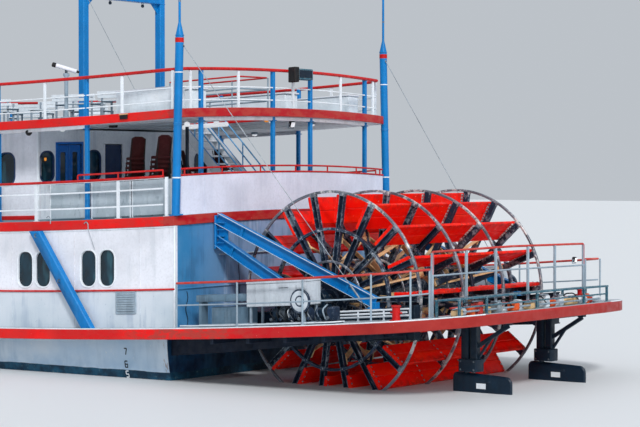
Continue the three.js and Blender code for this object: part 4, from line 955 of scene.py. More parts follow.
def build_cabin_ends():
    z0, z1 = MAIN_ON, MAIN_ROOF
    half = second_half(AFT_X) - LIP - 0.1 - HAIR
    piece = Piece("main_cabin_aft_plating")
    at = lambda u, v, out: up(aft_face(half, u) - out, u, v)
    ys = spread(-half, half, 24)
    # The aft face, its strips and its rub strip take the bulkhead finish, whose blue-grey is painted shade.
    wall(piece, at, panel(ys, z0, z1), [], 0.1, ("bulkhead", "bulkhead", "white"), 0.5)
    for y in (-4.1, -2.6, -1.2, 0.2, 1.6, 3.0, 4.3):
        piece.sweep([at(y, z0 + (z1 - z0) * n / 6, 0.003) for n in range(7)], (0.03, 0.01, 0.004), "bulkhead")
    piece.sweep([at(y, STRIP_Z, 0.012) for y in ys], (0.05, 0.04, 0.01), "bulkhead")
    for y, top, sway in ((4.5, 2.1, -0.04), (2.5, 3.0, 0.02), (-4.4, 3.0, 0.03)):
        path = [at(y + sway * math.sin(n * 0.9), top - (top - z0 - 0.05) * n / 10, 0.03) for n in range(11)]
        piece.tube(path, 0.009, "rubber", 6)
    piece.tube([at(y, 3.0, 0.04) for y in (3.3, 2.6, 1.9, 1.2)], 0.02, "grey", 8)
    piece.make("main_cabin_aft_wall", slot="white_paint")

    piece = Piece("main_cabin_front_plating")
    front, half = CABIN_FORE, 4.01 - LIP - 0.1 - 0.06
    door = rounded(0.0, MAIN_TOP + (0.1 + 2.15) / 2, 0.9, 2.05, 0.03)
    shapes = [(door, False)] + [(rounded(y, 2.79, 0.6, 0.96, 0.28), True) for y in (-2.9, -1.7, 1.7, 2.9)]
    wall(piece, cross_face(front, 1), panel((-half, half), z0, z1), shapes, 0.1, "white")
    for side in (1, -1):
        piece.sweep([up(front + 0.012, side * y, STRIP_Z) for y in (0.56, 2.2, half)], (0.05, 0.04, 0.01),
                    "rail_red")
    door_frame(piece, front, 1, -0.45, 0.45, MAIN_TOP, 0.1)
    piece.make("main_cabin_front_wall", slot="white_paint")


def door_frame(piece, x, way, y0, y1, deck, thick, paint="trim"):
    """A raised frame round a doorway and down its reveal."""
    corners = panel((y0, y1), deck + DOOR_LOW, deck + DOOR_TOP)
    rows = [(0.07, 0.0), (0.07, 0.018), (0.0, 0.024), (0.0, -thick - 0.006), (0.05, -thick - 0.006),
            (0.05, -thick)]
    piece.mould(cross_face(x, way), corners, rows, paint)


SALOON_X = [-6.4 + 1.45 * n for n in range(13)]


def build_saloon():
    z0, z1 = SECOND_ON, SECOND_ROOF
    for label, side in SIDES:
        at = side_face(saloon_half, 0, side)
        piece = Piece(f"saloon_{label}_plating")
        openings = [(rounded(x, 5.6, 0.66, 0.92, 0.25), True) for x in SALOON_X]
        xs = [x for x, _ in saloon_half.points(1, 0, SALOON_AFT, SALOON_FORE, 0.7)]
        wall(piece, at, panel(xs, z0, z1), openings, 0.09, "white", 0.8, "dark_door")
        piece.sweep([at(x, z0 + 0.06, 0.01) for x in xs], (0.03, 0.12, 0.008), "rail_red")
        piece.sweep([at(x, z1 - 0.05, 0.01) for x in xs], (0.03, 0.08, 0.008), "trim")
        piece.sweep([at(-7.68, z0, 0.0), at(-7.68, z1, 0.0)], (0.07, 0.07, 0.01), "trim")
        piece.make(f"saloon_{label}_wall", slot="white_paint")
    half = saloon_half(SALOON_AFT) - 0.09 - HAIR
    piece = Piece("saloon_aft_plating")
    doors = [(2.19, 3.19), (0.45, 1.2)]
    shapes = [(panel((y0, y1), SECOND_TOP + DOOR_LOW, SECOND_TOP + DOOR_TOP), False) for y0, y1 in doors]
    shapes += [(rounded(y, 5.63, 0.54, 0.86, 0.22), True) for y in (3.62, 1.66, -3.2)]
    wall(piece, cross_face(SALOON_AFT, -1), panel((-half, half), z0, z1), shapes, 0.09,
         ("saloon_aft", "saloon_aft", "white"), 0.8, "dark_door")
    for (y0, y1), paint in zip(doors, ("door", "saloon_aft")):
        door_frame(piece, SALOON_AFT, -1, y0, y1, SECOND_TOP, 0.09, paint=paint)
    for y in (3.8, -3.62):
        here = up(-7.82, y, 5.86)
        piece.lathe([(0.02, -0.06), (0.035, -0.04), (0.035, 0.02), (0.02, 0.05)], here, "amber", 12)
        piece.lathe([(0.04, 0.03), (0.06, 0.04), (0.02, 0.09)], here, "black", 12)
        piece.block((-7.83, y - 0.02, 5.78), (-7.69, y + 0.02, 5.82), "black")
    piece.block((-7.74, 0.02, 4.8), (-7.69, 0.3, 5.05), "grey")
    piece.block((-7.75, 0.08, 4.86), (-7.70, 0.24, 4.99), "dark_blue")
    piece.make("saloon_aft_wall", slot="white_paint")
    piece = Piece("saloon_front_plating")
    half = saloon_half(SALOON_FORE) - 0.11
    shapes = [(rounded(y, 5.35, 0.9, 1.1, 0.2), True) for y in (-2.2, -0.75, 0.75, 2.2)]
    wall(piece, cross_face(SALOON_FORE, 1), panel((-half, half), z0, z1), shapes, 0.09, "white")
    piece.make("saloon_front_wall", slot="white_paint")


# Door leaves: node, body, way it faces, hinge side, shape of its pane, paint.
DOORS = [("saloon_door_port", "saloon_port_leaf", -1, 1, "tall", "door"),
         ("saloon_door_inner", "saloon_inner_leaf", -1, -1, "tall", "door"),
         ("saloon_side_door", "saloon_side_leaf", -1, -1, "none", "dark_door"),
         ("front_cabin_door", "front_leaf", 1, -1, "round", "door"),
         ("pilothouse_door", "pilothouse_leaf", -1, -1, "round", "door")]
DOOR_THICK = 0.045


def build_doors():
    for node, body, way, hinge, pane, paint in DOORS:
        low, high = [Vector(corner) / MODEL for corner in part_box(node)]
        face = low.x + 0.011 if way < 0 else high.x - 0.011
        y0, y1 = (low.y, high.y - 0.011) if hinge > 0 else (low.y + 0.011, high.y)
        at = lambda u, v, out: Vector((face + way * out, u, v))
        middle, wide, tall = (y0 + y1) / 2, y1 - y0, high.z - low.z
        outline = panel((y0, y1), low.z, high.z)
        holes = []
        if pane == "tall":
            holes = [rounded(middle, low.z + tall * 0.54, wide * 0.5, tall * 0.72, wide * 0.12)]
        if pane == "round":
            holes = [rounded(middle, low.z + tall * 0.73, wide * 0.5, tall * 0.25, 0.16)]
        piece = Piece(node + "_leaf", body)
        piece.plate(outline, holes, at, 0, -DOOR_THICK, (paint,) * 3, 0.4, 0.004)
        for hole in holes:
            rows = [(0.022, -0.001), (0.022, 0.008), (0.0, 0.01), (-0.006, 0.0), (-0.006, -DOOR_THICK),
                    (0.0, -DOOR_THICK - 0.006), (0.022, -DOOR_THICK - 0.006), (0.022, -DOOR_THICK + HAIR)]
            piece.mould(at, hole, rows, paint)
            piece.mould(at, hole, [(-0.003, -0.018), (-0.003, -0.026)], "glass", False)
        for z in (0.12, 0.5, 0.88):
            here = at(y1 if hinge > 0 else y0, low.z + tall * z, 0)
            piece.lathe([(0.011, 0), (0.011, 0.11), (0.007, 0.12)], here, "steel", 10)
        grip = y0 + 0.07 if hinge > 0 else y1 - 0.07
        high_at = low.z + tall * 0.46
        for out, end in ((0.0, 0.045), (-DOOR_THICK, -DOOR_THICK - 0.045)):
            path = [at(grip, high_at, out), at(grip, high_at, end), at(grip + 0.1 * hinge, high_at, end)]
            piece.tube(arc(path, 0.02), 0.009, "steel", 8)
        piece.make(node, slot="door_blue")


def build_stairs():
    piece = Piece("promenade_stairs")
    top_x, foot_x, y, half, plate = -10.1, -12.95, 0.25, 0.56, 0.045
    foot, top = SECOND_ON, THIRD_TOP - HAIR
    outline = [(foot_x, foot), (foot_x + 0.28, foot), (top_x - 0.011, top - 0.19), (top_x - 0.011, top),
               (top_x - 0.17, top), (foot_x, foot + 0.19)]
    for side in (1, -1):
        y0, y1 = sorted((y + side * half, y + side * (half - plate)))
        piece.plate(outline, [], upright_bent, y1, y0, ("trim", "blue", "trim"), 0.6, 0.006)
    for n in range(11):
        share = (n + 1) / 12
        x = foot_x + 0.06 + share * (top_x - foot_x - 0.06) + 0.01
        z = foot + share * (top - foot)
        piece.block((x - 0.12, y - half + 0.046, z - 0.04), (x + 0.12, y + half - 0.046, z), "grey", 0.006)
        piece.block((x - 0.13, y - half + 0.046, z - 0.045), (x - 0.115, y + half - 0.046, z + 0.004), "trim",
                    0.004)
    for side in (1, -1):
        for high in (0.9, 0.55):
            line = y + side * (half - 0.02)
            path = [up(foot_x + 0.05, line, foot + high * 0.2 + 0.1), up(foot_x + 0.05, line, foot + high),
                    up(top_x - 0.75, line, top - 0.75 + high)]
            piece.tube(arc(path, 0.12), 0.022, "pale_blue", 8)
        for share in (0.05, 0.4, 0.72):
            x = foot_x + share * (top_x - foot_x)
            z = foot + share * (top - foot)
            piece.pole(x, y + side * (half - 0.02), z + 0.05, z + 0.88, 0.02, "pale_blue", 8)
    piece.make("stairs", slot="blue_paint")


def square_post(piece, x, y, low, high):
    piece.skin([[up(x + a, y + b, z) for a, b in rect(0.11, 0.11, 0.012)] for z in spread(low, high, 6)],
               "blue")


def build_pillars():
    low, high = SECOND_ON, SECOND_ROOF
    lines = {label: [(x, side * (third_half(x) - 0.16)) for x in PILLAR_X] for label, side in SIDES}
    lines["aft"] = [(aft_face(third_half(AFT_X), y) + 0.16, y) for y in AFT_PILLAR_Y]
    for label, line in lines.items():
        piece = Piece(f"pillar_row_{label}")
        for x, y in line:
            square_post(piece, x, y, low, high)
            piece.pad(x, y, 0.09, 0.09, low - HAIR, low + 0.02, "blue", 0.006)
            piece.pad(x, y, 0.085, 0.085, high - 0.11, high - 0.085, "blue", 0.006)
        if label == "aft":
            path = aft_points(third_half(AFT_X), -0.16, AFT_PILLAR_Y[0], AFT_PILLAR_Y[-1])
        else:
            side = dict(SIDES)[label]
            path = third_half.points(side, 0.16, PILLAR_X[0], PILLAR_X[-1])
        piece.rail(path, high - 0.05, (0.08, 0.1, 0.01), "soffit")
        piece.make(f"pillars_{label}", slot="blue_paint")


def build_bulwark():
    piece = Piece("aft_bulwark_panel")
    half = 4.64
    low, top = SECOND_ON, SECOND_TOP + RAIL_HIGH
    ys = spread(-half, half, 28)
    at = lambda u, v, out: up(aft_face(half, u) - out, u, v)
    piece.plate(panel(ys, low, top), [], at, 0, -0.06, ("bulwark", "bulwark", "trim"), 0.5, 0.006)
    for y in (-3.7, -2.2, -0.7, 0.8, 2.3, 3.8):
        piece.sweep([at(y, low + (top - low) * n / 4, 0.002) for n in range(5)], (0.016, 0.006, 0.002),
                    "bulwark")
        piece.sweep([at(y, low, -0.08), at(y, top - 0.05, -0.08)], (0.05, 0.03, 0.006), "trim")
    middle = [(aft_face(half, y) + 0.03, y) for y in ys]
    piece.rail(middle, top, (0.1, 0.05, 0.014), "rail_red")
    piece.rail(middle, top + 0.17, ring(0.026, 10), "rail_red")
    for y in (-4.5, -3.1, -1.55, 0.0, 1.55, 3.1, 4.5):
        x = aft_face(half, y) + 0.03
        post(piece, x, y, top + 0.01, top + 0.17, "rail_red", 0.035, 0.035, False)
    piece.make("aft_bulwark", slot="white_paint")


SECOND_POSTS = (-13.42, -11.75, -8.78, -6.0, -3.2, -0.4, 2.4, 5.2, 8.0, 10.8, 13.6, 15.5)


def build_second_rail():
    piece = Piece("promenade_rails")
    top = SECOND_TOP + RAIL_HIGH
    line = second_half.points(1, 0.09, -13.3, 15.9)
    front = [(16.2, 2.3), (16.35, 1.25), (16.35, 0.0)]
    whole = line + front + [(x, -y) for x, y in (line + front[:-1])[::-1]]
    piece.rail(whole, top, (0.11, 0.07, 0.02), "rail_red")
    piece.rail(whole, top - 0.04, (0.06, 0.03, 0.006), "trim")
    for high in (0.75, 0.32):
        piece.rail(whole, SECOND_TOP + high, (0.022, 0.045, 0.006), "trim")
    for side in (1, -1):
        for x in SECOND_POSTS:
            post(piece, x, side * (second_half(x) - 0.09), SECOND_ON, top - 0.02, "trim", 0.1, 0.045)
        guard = second_half.points(side, 0.09, -13.3, -10.31)
        path = [up(x, y, top + 0.17) for x, y in guard] + [up(*guard[-1], top + 0.05)]
        piece.tube(arc(path, 0.06), 0.026, "rail_red", 10)
        for x in (-11.75, -13.3):
            post(piece, x, side * (second_half(x) - 0.09), top, top + 0.17, "rail_red", 0.035, 0.035, False)
    for y in (1.25, 0.0, -1.25):
        post(piece, 16.35, y, SECOND_ON, top - 0.02, "trim", 0.045, 0.1)
    piece.make("second_deck_rail_port", "second_deck_rail_stbd", "second_deck_rail_front", slot="rail_red")
    for label, side in SIDES:
        sheet = Piece(f"promenade_wind_screen_{label}")
        z0, z1 = SECOND_TOP + 0.05, SECOND_TOP + 1.0
        at = side_face(third_half, 0.24, side)
        for x0, x1 in ((-13.3, -11.9), (-11.88, -10.46), (-10.4, -8.95)):
            xs = spread(x0, x1, 4)
            sheet.plate(panel(xs, z0, z1), [], at, 0, -0.012, "screen", 0.4, 0.003)
            for x in (x0 + 0.03, x1 - 0.03):
                sheet.sweep([at(x, z0 - 0.045, 0.0), at(x, z1, 0.0)], (0.03, 0.03, 0.004), "trim")
        sheet.make(slot="white_paint")


THIRD_POSTS = (-13.44, -11.7, -8.92, -6.1, -3.3, -0.5, 2.3, 5.1, 7.9, 10.7, 13.3)


def build_third_rail():
    piece = Piece("top_deck_rails")
    top = THIRD_TOP + RAIL_HIGH
    half = third_half(AFT_X)
    side_line = third_half.points(1, 0.09, -13.25, 13.3)
    corner = [(-13.44, 4.56)]
    aft = [(aft_face(half, y) + 0.12, y) for y in spread(4.39, -4.39, 20)]
    loop = side_line[::-1] + corner + aft + [(x, -y) for x, y in (corner + side_line)]
    piece.rail(loop, top, (0.12, 0.085, 0.025), "rail_red", True)
    for high in (0.58, 0.23):
        piece.rail(loop, THIRD_TOP + high, (0.02, 0.035, 0.006), "trim", True)
    for side in (1, -1):
        for x in THIRD_POSTS:
            post(piece, x, side * (third_half(x) - 0.09), THIRD_ON, top - 0.03, "trim", 0.09, 0.04)
        for x in PILLAR_X:
            square_post(piece, x, side * (third_half(x) - 0.135), THIRD_ON, top - 0.01)
    for y in (4.2, 2.36, 0.0, -2.36, -4.2):
        post(piece, aft_face(half, y) + 0.12, y, THIRD_ON, top - 0.03, "trim", 0.045, 0.09)
    for y in AFT_PILLAR_Y:
        square_post(piece, aft_face(half, y) + 0.16, y, THIRD_ON, top - 0.01)
    for y in (1.2, -1.2):
        post(piece, 13.3, y, THIRD_ON, top - 0.03, "trim", 0.045, 0.09)
    x = aft_face(half, -0.15) + 0.02
    piece.block((x - 0.17, -0.6, top - 0.25), (x + 0.05, 0.1, top + 0.06), "teal", 0.02)
    piece.block((x - 0.2, 0.08, top - 0.33), (x + 0.05, 0.3, top + 0.1), "black", 0.02)
    piece.block((x - 0.18, -0.55, top - 0.2), (x - 0.15, 0.05, top + 0.02), "dark_blue", 0.01)
    piece.make("third_deck_rail", slot="rail_red")


def build_corner_posts():
    x, y, radius, top, lean = -13.72, 4.85, 0.112, 9.26, 0.17
    for label, side in SIDES:
        piece = Piece(f"corner_post_{label}_dressed")
        foot = Vector((x, side * y, SECOND_TOP + 0.02 + lift(x, y, SECOND_TOP)))
        head = Vector((x, side * (y - lean), top))
        piece.tube([foot.lerp(head, n / 6) for n in range(7)], radius, "blue", 28)
        piece.block((x - 0.15, side * y - 0.14, SECOND_ON), (x + 0.15, side * y + 0.095, SECOND_TOP + 0.04),
                    "blue", 0.01)
        for z, tall, paint, extra in ((9.08, 0.13, "rail_red", 0.006), (5.46, 0.04, "trim", 0.008),
                                      (8.27, 0.035, "trim", 0.008), (6.9, 0.04, "blue", 0.01)):
            share = (z - foot.z) / (head.z - foot.z)
            here = foot.lerp(head, share)
            piece.lathe([(radius - 0.01, 0), (radius + extra, 0.004), (radius + extra, tall - 0.004),
                         (radius - 0.01, tall)], here, paint, 28)
        piece.lathe([(radius, 0), (radius + 0.012, 0.004), (radius + 0.012, 0.02), (radius * 0.96, 0.03),
                     (0.06, 0.25), (0.034, 0.36), (0.03, 0.38)], head, "blue", 28)
        piece.lathe([(0.035, 0.3), (0.034, 1.2), (0.03, 2.2), (0.02, 3.3), (0.005, 3.34)], head, "blue", 12)
        piece.lathe([(0.035, 0.9), (0.035, 0.95)], head, "steel", 10)
        stay_foot = Vector((-19.08, side * 3.578, 2.13))
        start = head - Vector((0, 0, 0.12))
        way = (stay_foot - start).normalized()
        piece.tube([start, stay_foot - way * 0.7], 0.01, "galvanised", 8)
        piece.tube([stay_foot - way * 0.75, stay_foot - way * 0.35], 0.026, "galvanised", 10)
        piece.tube([stay_foot - way * 0.4, stay_foot - way * 0.02], 0.014, "steel", 8)
        piece.tube([start - way * 0.02, start + way * 0.22], 0.022, "steel", 10)
        piece.make(f"corner_post_{label}", slot="blue_paint")


def build_king_posts():
    piece = Piece("king_post_gantry")
    x, y, top, half = -7.33, 1.7, 11.15, 0.115
    foot = THIRD_TOP + 0.02 + lift(x, y, THIRD_TOP)
    for side in (1, -1):
        piece.pad(x, side * y, 0.18, 0.18, THIRD_ON, THIRD_TOP + 0.04, "blue", 0.01)
        piece.skin([[(x + a, side * y + b, z) for a, b in rect(2 * half, 2 * half, 0.018)]
                    for z in (foot, 8.5, 10, top)], "blue")
        for a, b in ((1, 1), (1, -1), (-1, 1), (-1, -1)):
            piece.bolt(up(x + a * 0.15, side * y + b * 0.15, THIRD_TOP + 0.04), (0, 0, 1), 0.016, "steel")
        gusset = [(y - half - 0.35, top - 0.28), (y - half, top - 0.62), (y - half, top - 0.28)]
        piece.skin([[(x + d, side * u, v) for u, v in gusset] for d in (-0.012, 0.012)], "blue")
    piece.block((x - 0.1, -y - half, top - 0.3), (x + 0.1, y + half, top), "blue", 0.012, straight)
    for rise in (0.0, -0.3):
        piece.block((x - 0.13, -y - half, top + rise - 0.012), (x + 0.13, y + half, top + rise), "blue",
                    0.004, straight)
    for yy in (-0.9, 0.55):
        piece.tube(ring_path((x, yy, top - 0.34), 0.035, ALONG, 16), 0.011, "steel", 8, True)
        piece.lathe([(0.04, -0.03), (0.05, -0.02), (0.05, 0.02), (0.04, 0.03)], (x, yy, top - 0.41),
                    "dark_blue", 16, ALONG)
    piece.tube([(x, y, top - 0.1), up(-10.6, 3.0, THIRD_TOP + 0.68)], 0.009, "galvanised", 6)
    piece.make("king_post_frame", slot="blue_paint")


def build_pilothouse():
    x0, x1, half, high, thick = 6.0, 9.0, 1.9, 2.5, 0.08
    z0, z1 = THIRD_ON, THIRD_TOP + high
    g0, g1 = THIRD_TOP + 1.05, THIRD_TOP + 1.95
    pane = lambda u0, u1: (rounded((u0 + u1) / 2, (g0 + g1) / 2, u1 - u0, g1 - g0, 0.06), True)
    piece = Piece("pilothouse_panels")
    front = [pane(y - 0.48, y + 0.48) for y in (-1.15, 0, 1.15)]
    wall(piece, cross_face(x1, 1), panel((-half, half), z0, z1), front, thick, "white")
    door = (panel((0.5, 1.2), THIRD_TOP + DOOR_LOW, THIRD_TOP + DOOR_TOP), False)
    wall(piece, cross_face(x0, -1), panel((-half, half), z0, z1), [pane(-1.5, -0.7), door], thick, "white")
    for side in (1, -1):
        at = lambda u, v, out: up(u, side * (half + out), v)
        wall(piece, at, panel((x0 + thick, x1 - thick), z0, z1),
             [pane(x - 0.52, x + 0.52) for x in (6.8, 8.2)], thick, "white")
        for z in (THIRD_TOP + 0.95, THIRD_TOP + 2.05):
            piece.sweep([at(x0, z, 0.012), at(x1, z, 0.012)], (0.03, 0.05, 0.008), "rail_red")
    for z in (THIRD_TOP + 0.95, THIRD_TOP + 2.05):
        piece.sweep([up(x1 + 0.012, y, z) for y in (-half, 0, half)], (0.03, 0.05, 0.008), "rail_red")
    door_frame(piece, x0, -1, 0.5, 1.2, THIRD_TOP, thick)
    for y in (-half, half):
        for x in (x0, x1):
            piece.sweep([up(x, y, z0), up(x, y, z1)], (0.07, 0.07, 0.012), "trim")
    piece.make("pilothouse_walls", slot="white_paint")

    roof = Piece("pilothouse_roof_panel")
    outline = rounded((x0 + x1) / 2, 0, x1 - x0 + 0.8, 2 * half + 0.8, 0.35)
    roof.plate(outline, [], up, z1 + 0.13, z1 + HAIR, ("white", "red", "soffit"), 0.5, 0.02)
    for side in (1, -1):
        flood_lamp(roof, up(x1 + 0.1, side * 1.2, z1 + 0.3), (1, 0, -0.1), 0.26)
    horn = up(x0 + 1.2, 0.6, z1 + 0.2)
    roof.lathe([(0.03, 0), (0.035, 0.3), (0.06, 0.5), (0.12, 0.62), (0.13, 0.63), (0.05, 0.5)], horn,
               "galvanised", 20, ALONG)
    roof.block((x0 + 1.2, 0.56, z1 + 0.12), (x0 + 1.3, 0.64, z1 + 0.22), "steel")
    mast = up(x0 + 0.9, 0, z1 + 0.12)
    roof.lathe([(0.09, 0), (0.09, 0.02), (0.045, 0.03), (0.04, 1.8), (0.03, 1.84)], mast, "white", 16)
    roof.block((mast.x - 0.04, -0.6, mast.z + 1.3), (mast.x + 0.04, 0.6, mast.z + 1.38), "white", 0.01,
               straight)
    roof.block((mast.x - 0.07, -0.55, mast.z + 1.42), (mast.x + 0.07, 0.55, mast.z + 1.52), "grey", 0.03,
               straight)
    roof.make("pilothouse_roof", slot="red_paint")
    repaint("helm_console", "dark_blue")
    build_helm(x1 - thick - 0.3)


def build_helm(desk):
    """The steering wheel behind the desk, with its spokes and grips."""
    piece = Piece("helm_wheel")
    centre = up(desk - 0.56, 0, THIRD_TOP + 0.95)
    piece.tube(ring_path(centre, 0.3, ALONG, 32), 0.02, "cream", 10, True)
    piece.lathe([(0.05, -0.03), (0.06, -0.02), (0.06, 0.03), (0.03, 0.08)], centre, "steel", 16, ALONG)
    piece.tube([centre, centre + Vector((0.14, 0, 0))], 0.022, "steel", 10)
    for spot in ring(0.42, 8):
        piece.tube([centre, centre + Vector((0, *spot))], 0.013, "cream", 8)
    piece.make(slot="dark_blue")


def build_stacks():
    x, y = 11.2, 2.3
    profile = [(0.39, 0), (0.39, 0.5), (0.384, 2.5), (0.38, 5.0), (0.4, 5.07), (0.43, 5.15), (0.47, 5.25),
               (0.54, 5.38), (0.64, 5.5), (0.64, 5.56), (0.6, 5.56), (0.52, 5.45), (0.42, 5.3), (0.33, 5.2),
               (0.33, 4.7)]
    for label, side in SIDES:
        piece = Piece(f"smokestack_{label}_dressed")
        base = Vector((x, side * y, THIRD_TOP + 0.1 + lift(x, y, THIRD_TOP)))
        piece.lathe(profile, base, "black", 48)
        deck = THIRD_ON + lift(x, y, THIRD_TOP)
        piece.lathe([(0.54, -0.02), (0.54, 0.12), (0.52, 0.14), (0.42, 0.16), (0.41, 0.24), (0.38, 0.25)],
                    (x, side * y, deck + 0.02), "black", 48)
        for z in (1.2, 2.4, 3.6, 4.6):
            piece.lathe([(0.37, 0), (0.402, 0.006), (0.402, 0.054), (0.37, 0.06)], base + Vector((0, 0, z)),
                        "black", 48)
        for spot in ring(1, 16):
            piece.bolt(Vector((x, side * y, deck + 0.16)) + Vector((*spot, 0)) * 0.47, (0, 0, 1), 0.018,
                       "black")
        for way in (-1, 1):
            piece.tube([base + Vector((0, 0, 4.65)),
                        Vector((x + way * 1.6, side * 3.5, THIRD_TOP + 0.02
                                + lift(x, 3.5, THIRD_TOP)))], 0.01, "galvanised", 6)
        piece.make(f"smokestack_{label}", slot="black_paint")


def arm_turn(i):
    return math.radians(ARM_PHASE + 360 / ARMS * i)


def in_wheel(i):
    """Places a point given as radius, y and distance along the tangent at arm i."""
    turn = arm_turn(i)
    return lambda p: Vector((AXLE_X + p[0] * math.cos(turn) - p[2] * math.sin(turn), p[1],
                             AXLE_Z + p[0] * math.sin(turn) + p[2] * math.cos(turn)))


def wheel_ring(piece, y, outer, inner, half, paint, count):
    rows = []
    e = 0.008
    for c, s in ring(1, count):
        section = [(inner, -half + e), (inner + e, -half), (outer - e, -half), (outer, -half + e),
                   (outer, half - e), (outer - e, half), (inner + e, half), (inner, half - e)]
        rows.append([(AXLE_X + r * c, y + t, AXLE_Z + r * s) for r, t in section])
    piece.skin(rows, paint, True)


def build_wheel_frames():
    for number, y in enumerate(FRAME_Y):
        piece = Piece(f"wheel_frame_{number}", "wheel")
        out = 1 if y > 0 else -1
        wheel_ring(piece, y, WHEEL_R, 2.795, 0.036, "wheel_ring", 108)
        wheel_ring(piece, y, 1.885, 1.815, 0.061, "wheel_dark", 72)
        wheel_ring(piece, y + out * 0.07, 1.03, 0.97, 0.02, "wheel_ring", 54)
        piece.lathe([(0.55, -0.06), (0.56, -0.05), (0.56, 0.05), (0.55, 0.06), (0.3, 0.062), (0.27, 0.12),
                     (0.2, 0.125)], (AXLE_X, y, AXLE_Z), "wheel_dark", 48, (0, out, 0))
        for n in range(ARMS):
            turn = arm_turn(n + 0.5)
            spot = Vector((AXLE_X + 0.46 * math.cos(turn), y + out * 0.062, AXLE_Z + 0.46 * math.sin(turn)))
            piece.bolt(spot, (0, out, 0), 0.018, "steel")
        section = [(-0.06, -0.075), (0.06, -0.075), (0.06, -0.06), (-0.045, -0.06), (-0.045, 0.06),
                   (0.06, 0.06), (0.06, 0.075), (-0.06, 0.075)]
        for i in range(ARMS):
            place = in_wheel(i)
            rows = [[place((r, y + out * a, t)) for a, t in section] for r in (0.5, 1.2, 2.0, 2.81)]
            piece.skin(rows, "wheel_dark")
            piece.block((1.795, y + out * 0.062 - 0.008, -0.055), (1.905, y + out * 0.062 + 0.008, 0.055),
                        "wheel_dark", 0.004, place)
            for r in (1.85, 0.995):
                piece.bolt(place((r, y + out * 0.07, 0)), (0, out, 0), 0.015, "wheel_ring")
            piece.block((2.74, y - 0.056, -0.09), (2.84, y + 0.056, 0.09), "wheel_ring", 0.006, place)
        piece.make(*([] if number else ["paddle_wheel"]), slot="wheel_red")


def build_wheel_boards():
    boards, irons = Piece("wheel_boards", "wheel"), Piece("wheel_board_irons", "wheel")
    for i in range(ARMS):
        place = in_wheel(i)
        for r0, r1 in ((2.035, 2.39), (2.40, 2.76)):
            boards.block((r0, -3.03, -0.157), (r1, 3.03, -0.077), "wheel_red", 0.012, place)
        for y in FRAME_Y:
            irons.block((2.05, y - 0.045, -0.172), (2.745, y + 0.045, -0.157), "wheel_red", 0.005, place)
            for n in range(5):
                r = 2.12 + 0.145 * n
                way = place((r, y, -1)) - place((r, y, 0))
                irons.bolt(place((r, y, -0.171)), way, 0.02, "wheel_ring")
            irons.block((2.03, y - 0.06, -0.078), (2.75, y + 0.06, -0.07), "wheel_dark", 0.003, place)
            way = 1 if y < 0 else -1
            low, high = sorted((y + way * 0.1, y + way * 0.19))
            irons.block((2.05, low, -0.079), (2.745, high, -0.064), "cleat", 0.005, place)
            for n in range(8):
                r = 2.09 + 0.088 * n
                irons.bolt(place((r, y + way * 0.145, -0.065)), place((r, y, 0)) - place((r, y, -1)), 0.026,
                           "wheel_ring")
        for n, (a, b) in enumerate(zip(FRAME_Y, FRAME_Y[1:])):
            r0, r1 = ((0.62, 1.62), (1.62, 0.62))[(i + n) % 2]
            irons.bar(place((r0, a + 0.07, 0.02)), place((r1, b - 0.07, 0.02)), (0.15, 0.045, 0.008), "cream")
            for r, y in ((r0, a + 0.09), (r1, b - 0.09)):
                irons.pad(r, y, 0.13, 0.012, -0.09, 0.09, "cream", 0.006, place)
        for a, b in zip(FRAME_Y, FRAME_Y[1:]):
            if i % 3 == 0:
                irons.bar(place((1.0, a + 0.06, 0)), place((1.0, b - 0.06, 0)), ring(0.03, 8), "wheel_ring")
    boards.make(slot="wheel_red")
    irons.make(slot="wheel_red")
    shaft = Piece("wheel_axle", "wheel")
    shaft.lathe([(0.13, -3.64), (0.15, -3.62), (0.15, -1.5), (0.15, 1.5), (0.15, 3.62), (0.13, 3.64)],
                (AXLE_X, 0, AXLE_Z), "steel", 48, (0, 1, 0))
    for y in FRAME_Y:
        side = 1 if y > 0 else -1
        middle = y - side * 0.151
        shaft.lathe([(0.15, -0.045), (0.23, -0.045), (0.24, -0.035), (0.24, 0.035), (0.23, 0.045),
                     (0.15, 0.045)], (AXLE_X, middle, AXLE_Z), "wheel_dark", 36, (0, 1, 0))
        for a, c in circle(AXLE_X, AXLE_Z, 0.2, 8):
            shaft.bolt((a, middle - side * 0.044, c), (0, -side, 0), 0.014, "steel")
    shaft.make("wheel_shaft", slot="steel")


def build_carriers():
    under = MAIN_UNDER + lift(-13.2, 0, 0) - 0.02
    outline = [(-20.549, 1.40), (-13.201, 0.95), (-13.201, under), (-14.202, under), *BEAM_TOP[::-1]]
    for label, side in SIDES:
        y0, y1 = sorted((side * (BEAM_Y - 0.13), side * (BEAM_Y + 0.13)))
        piece = Piece(f"wheel_beam_{label}_dressed")
        piece.plate(outline, [], upright, y1, y0, "dark_blue", 0.8, 0.012)
        lower = [(x, side * BEAM_Y, z) for x, z in outline[:2]]
        upper = [(x, side * BEAM_Y, z - 0.017) for x, z in BEAM_TOP]
        piece.sweep([Vector(p) + Vector((0, 0, 0.016)) for p in lower], (BEAM_WIDE, 0.03, 0.006), "dark_blue")
        piece.sweep(upper, (BEAM_WIDE, 0.03, 0.006), "dark_blue")
        for x in (-20.3, -19.5, -18.7, -17.9, -17.1, -16.3, -15.5, -14.7):
            for way in (1, -1):
                yy = side * BEAM_Y + way * 0.15
                piece.pad(x, yy, 0.012, 0.02, 1.42, 1.92, "dark_blue", 0.003, straight)
        piece.make(f"wheel_beam_{label}", slot="dark_blue")
        build_bearing(label, side)
        build_strut(label, side)


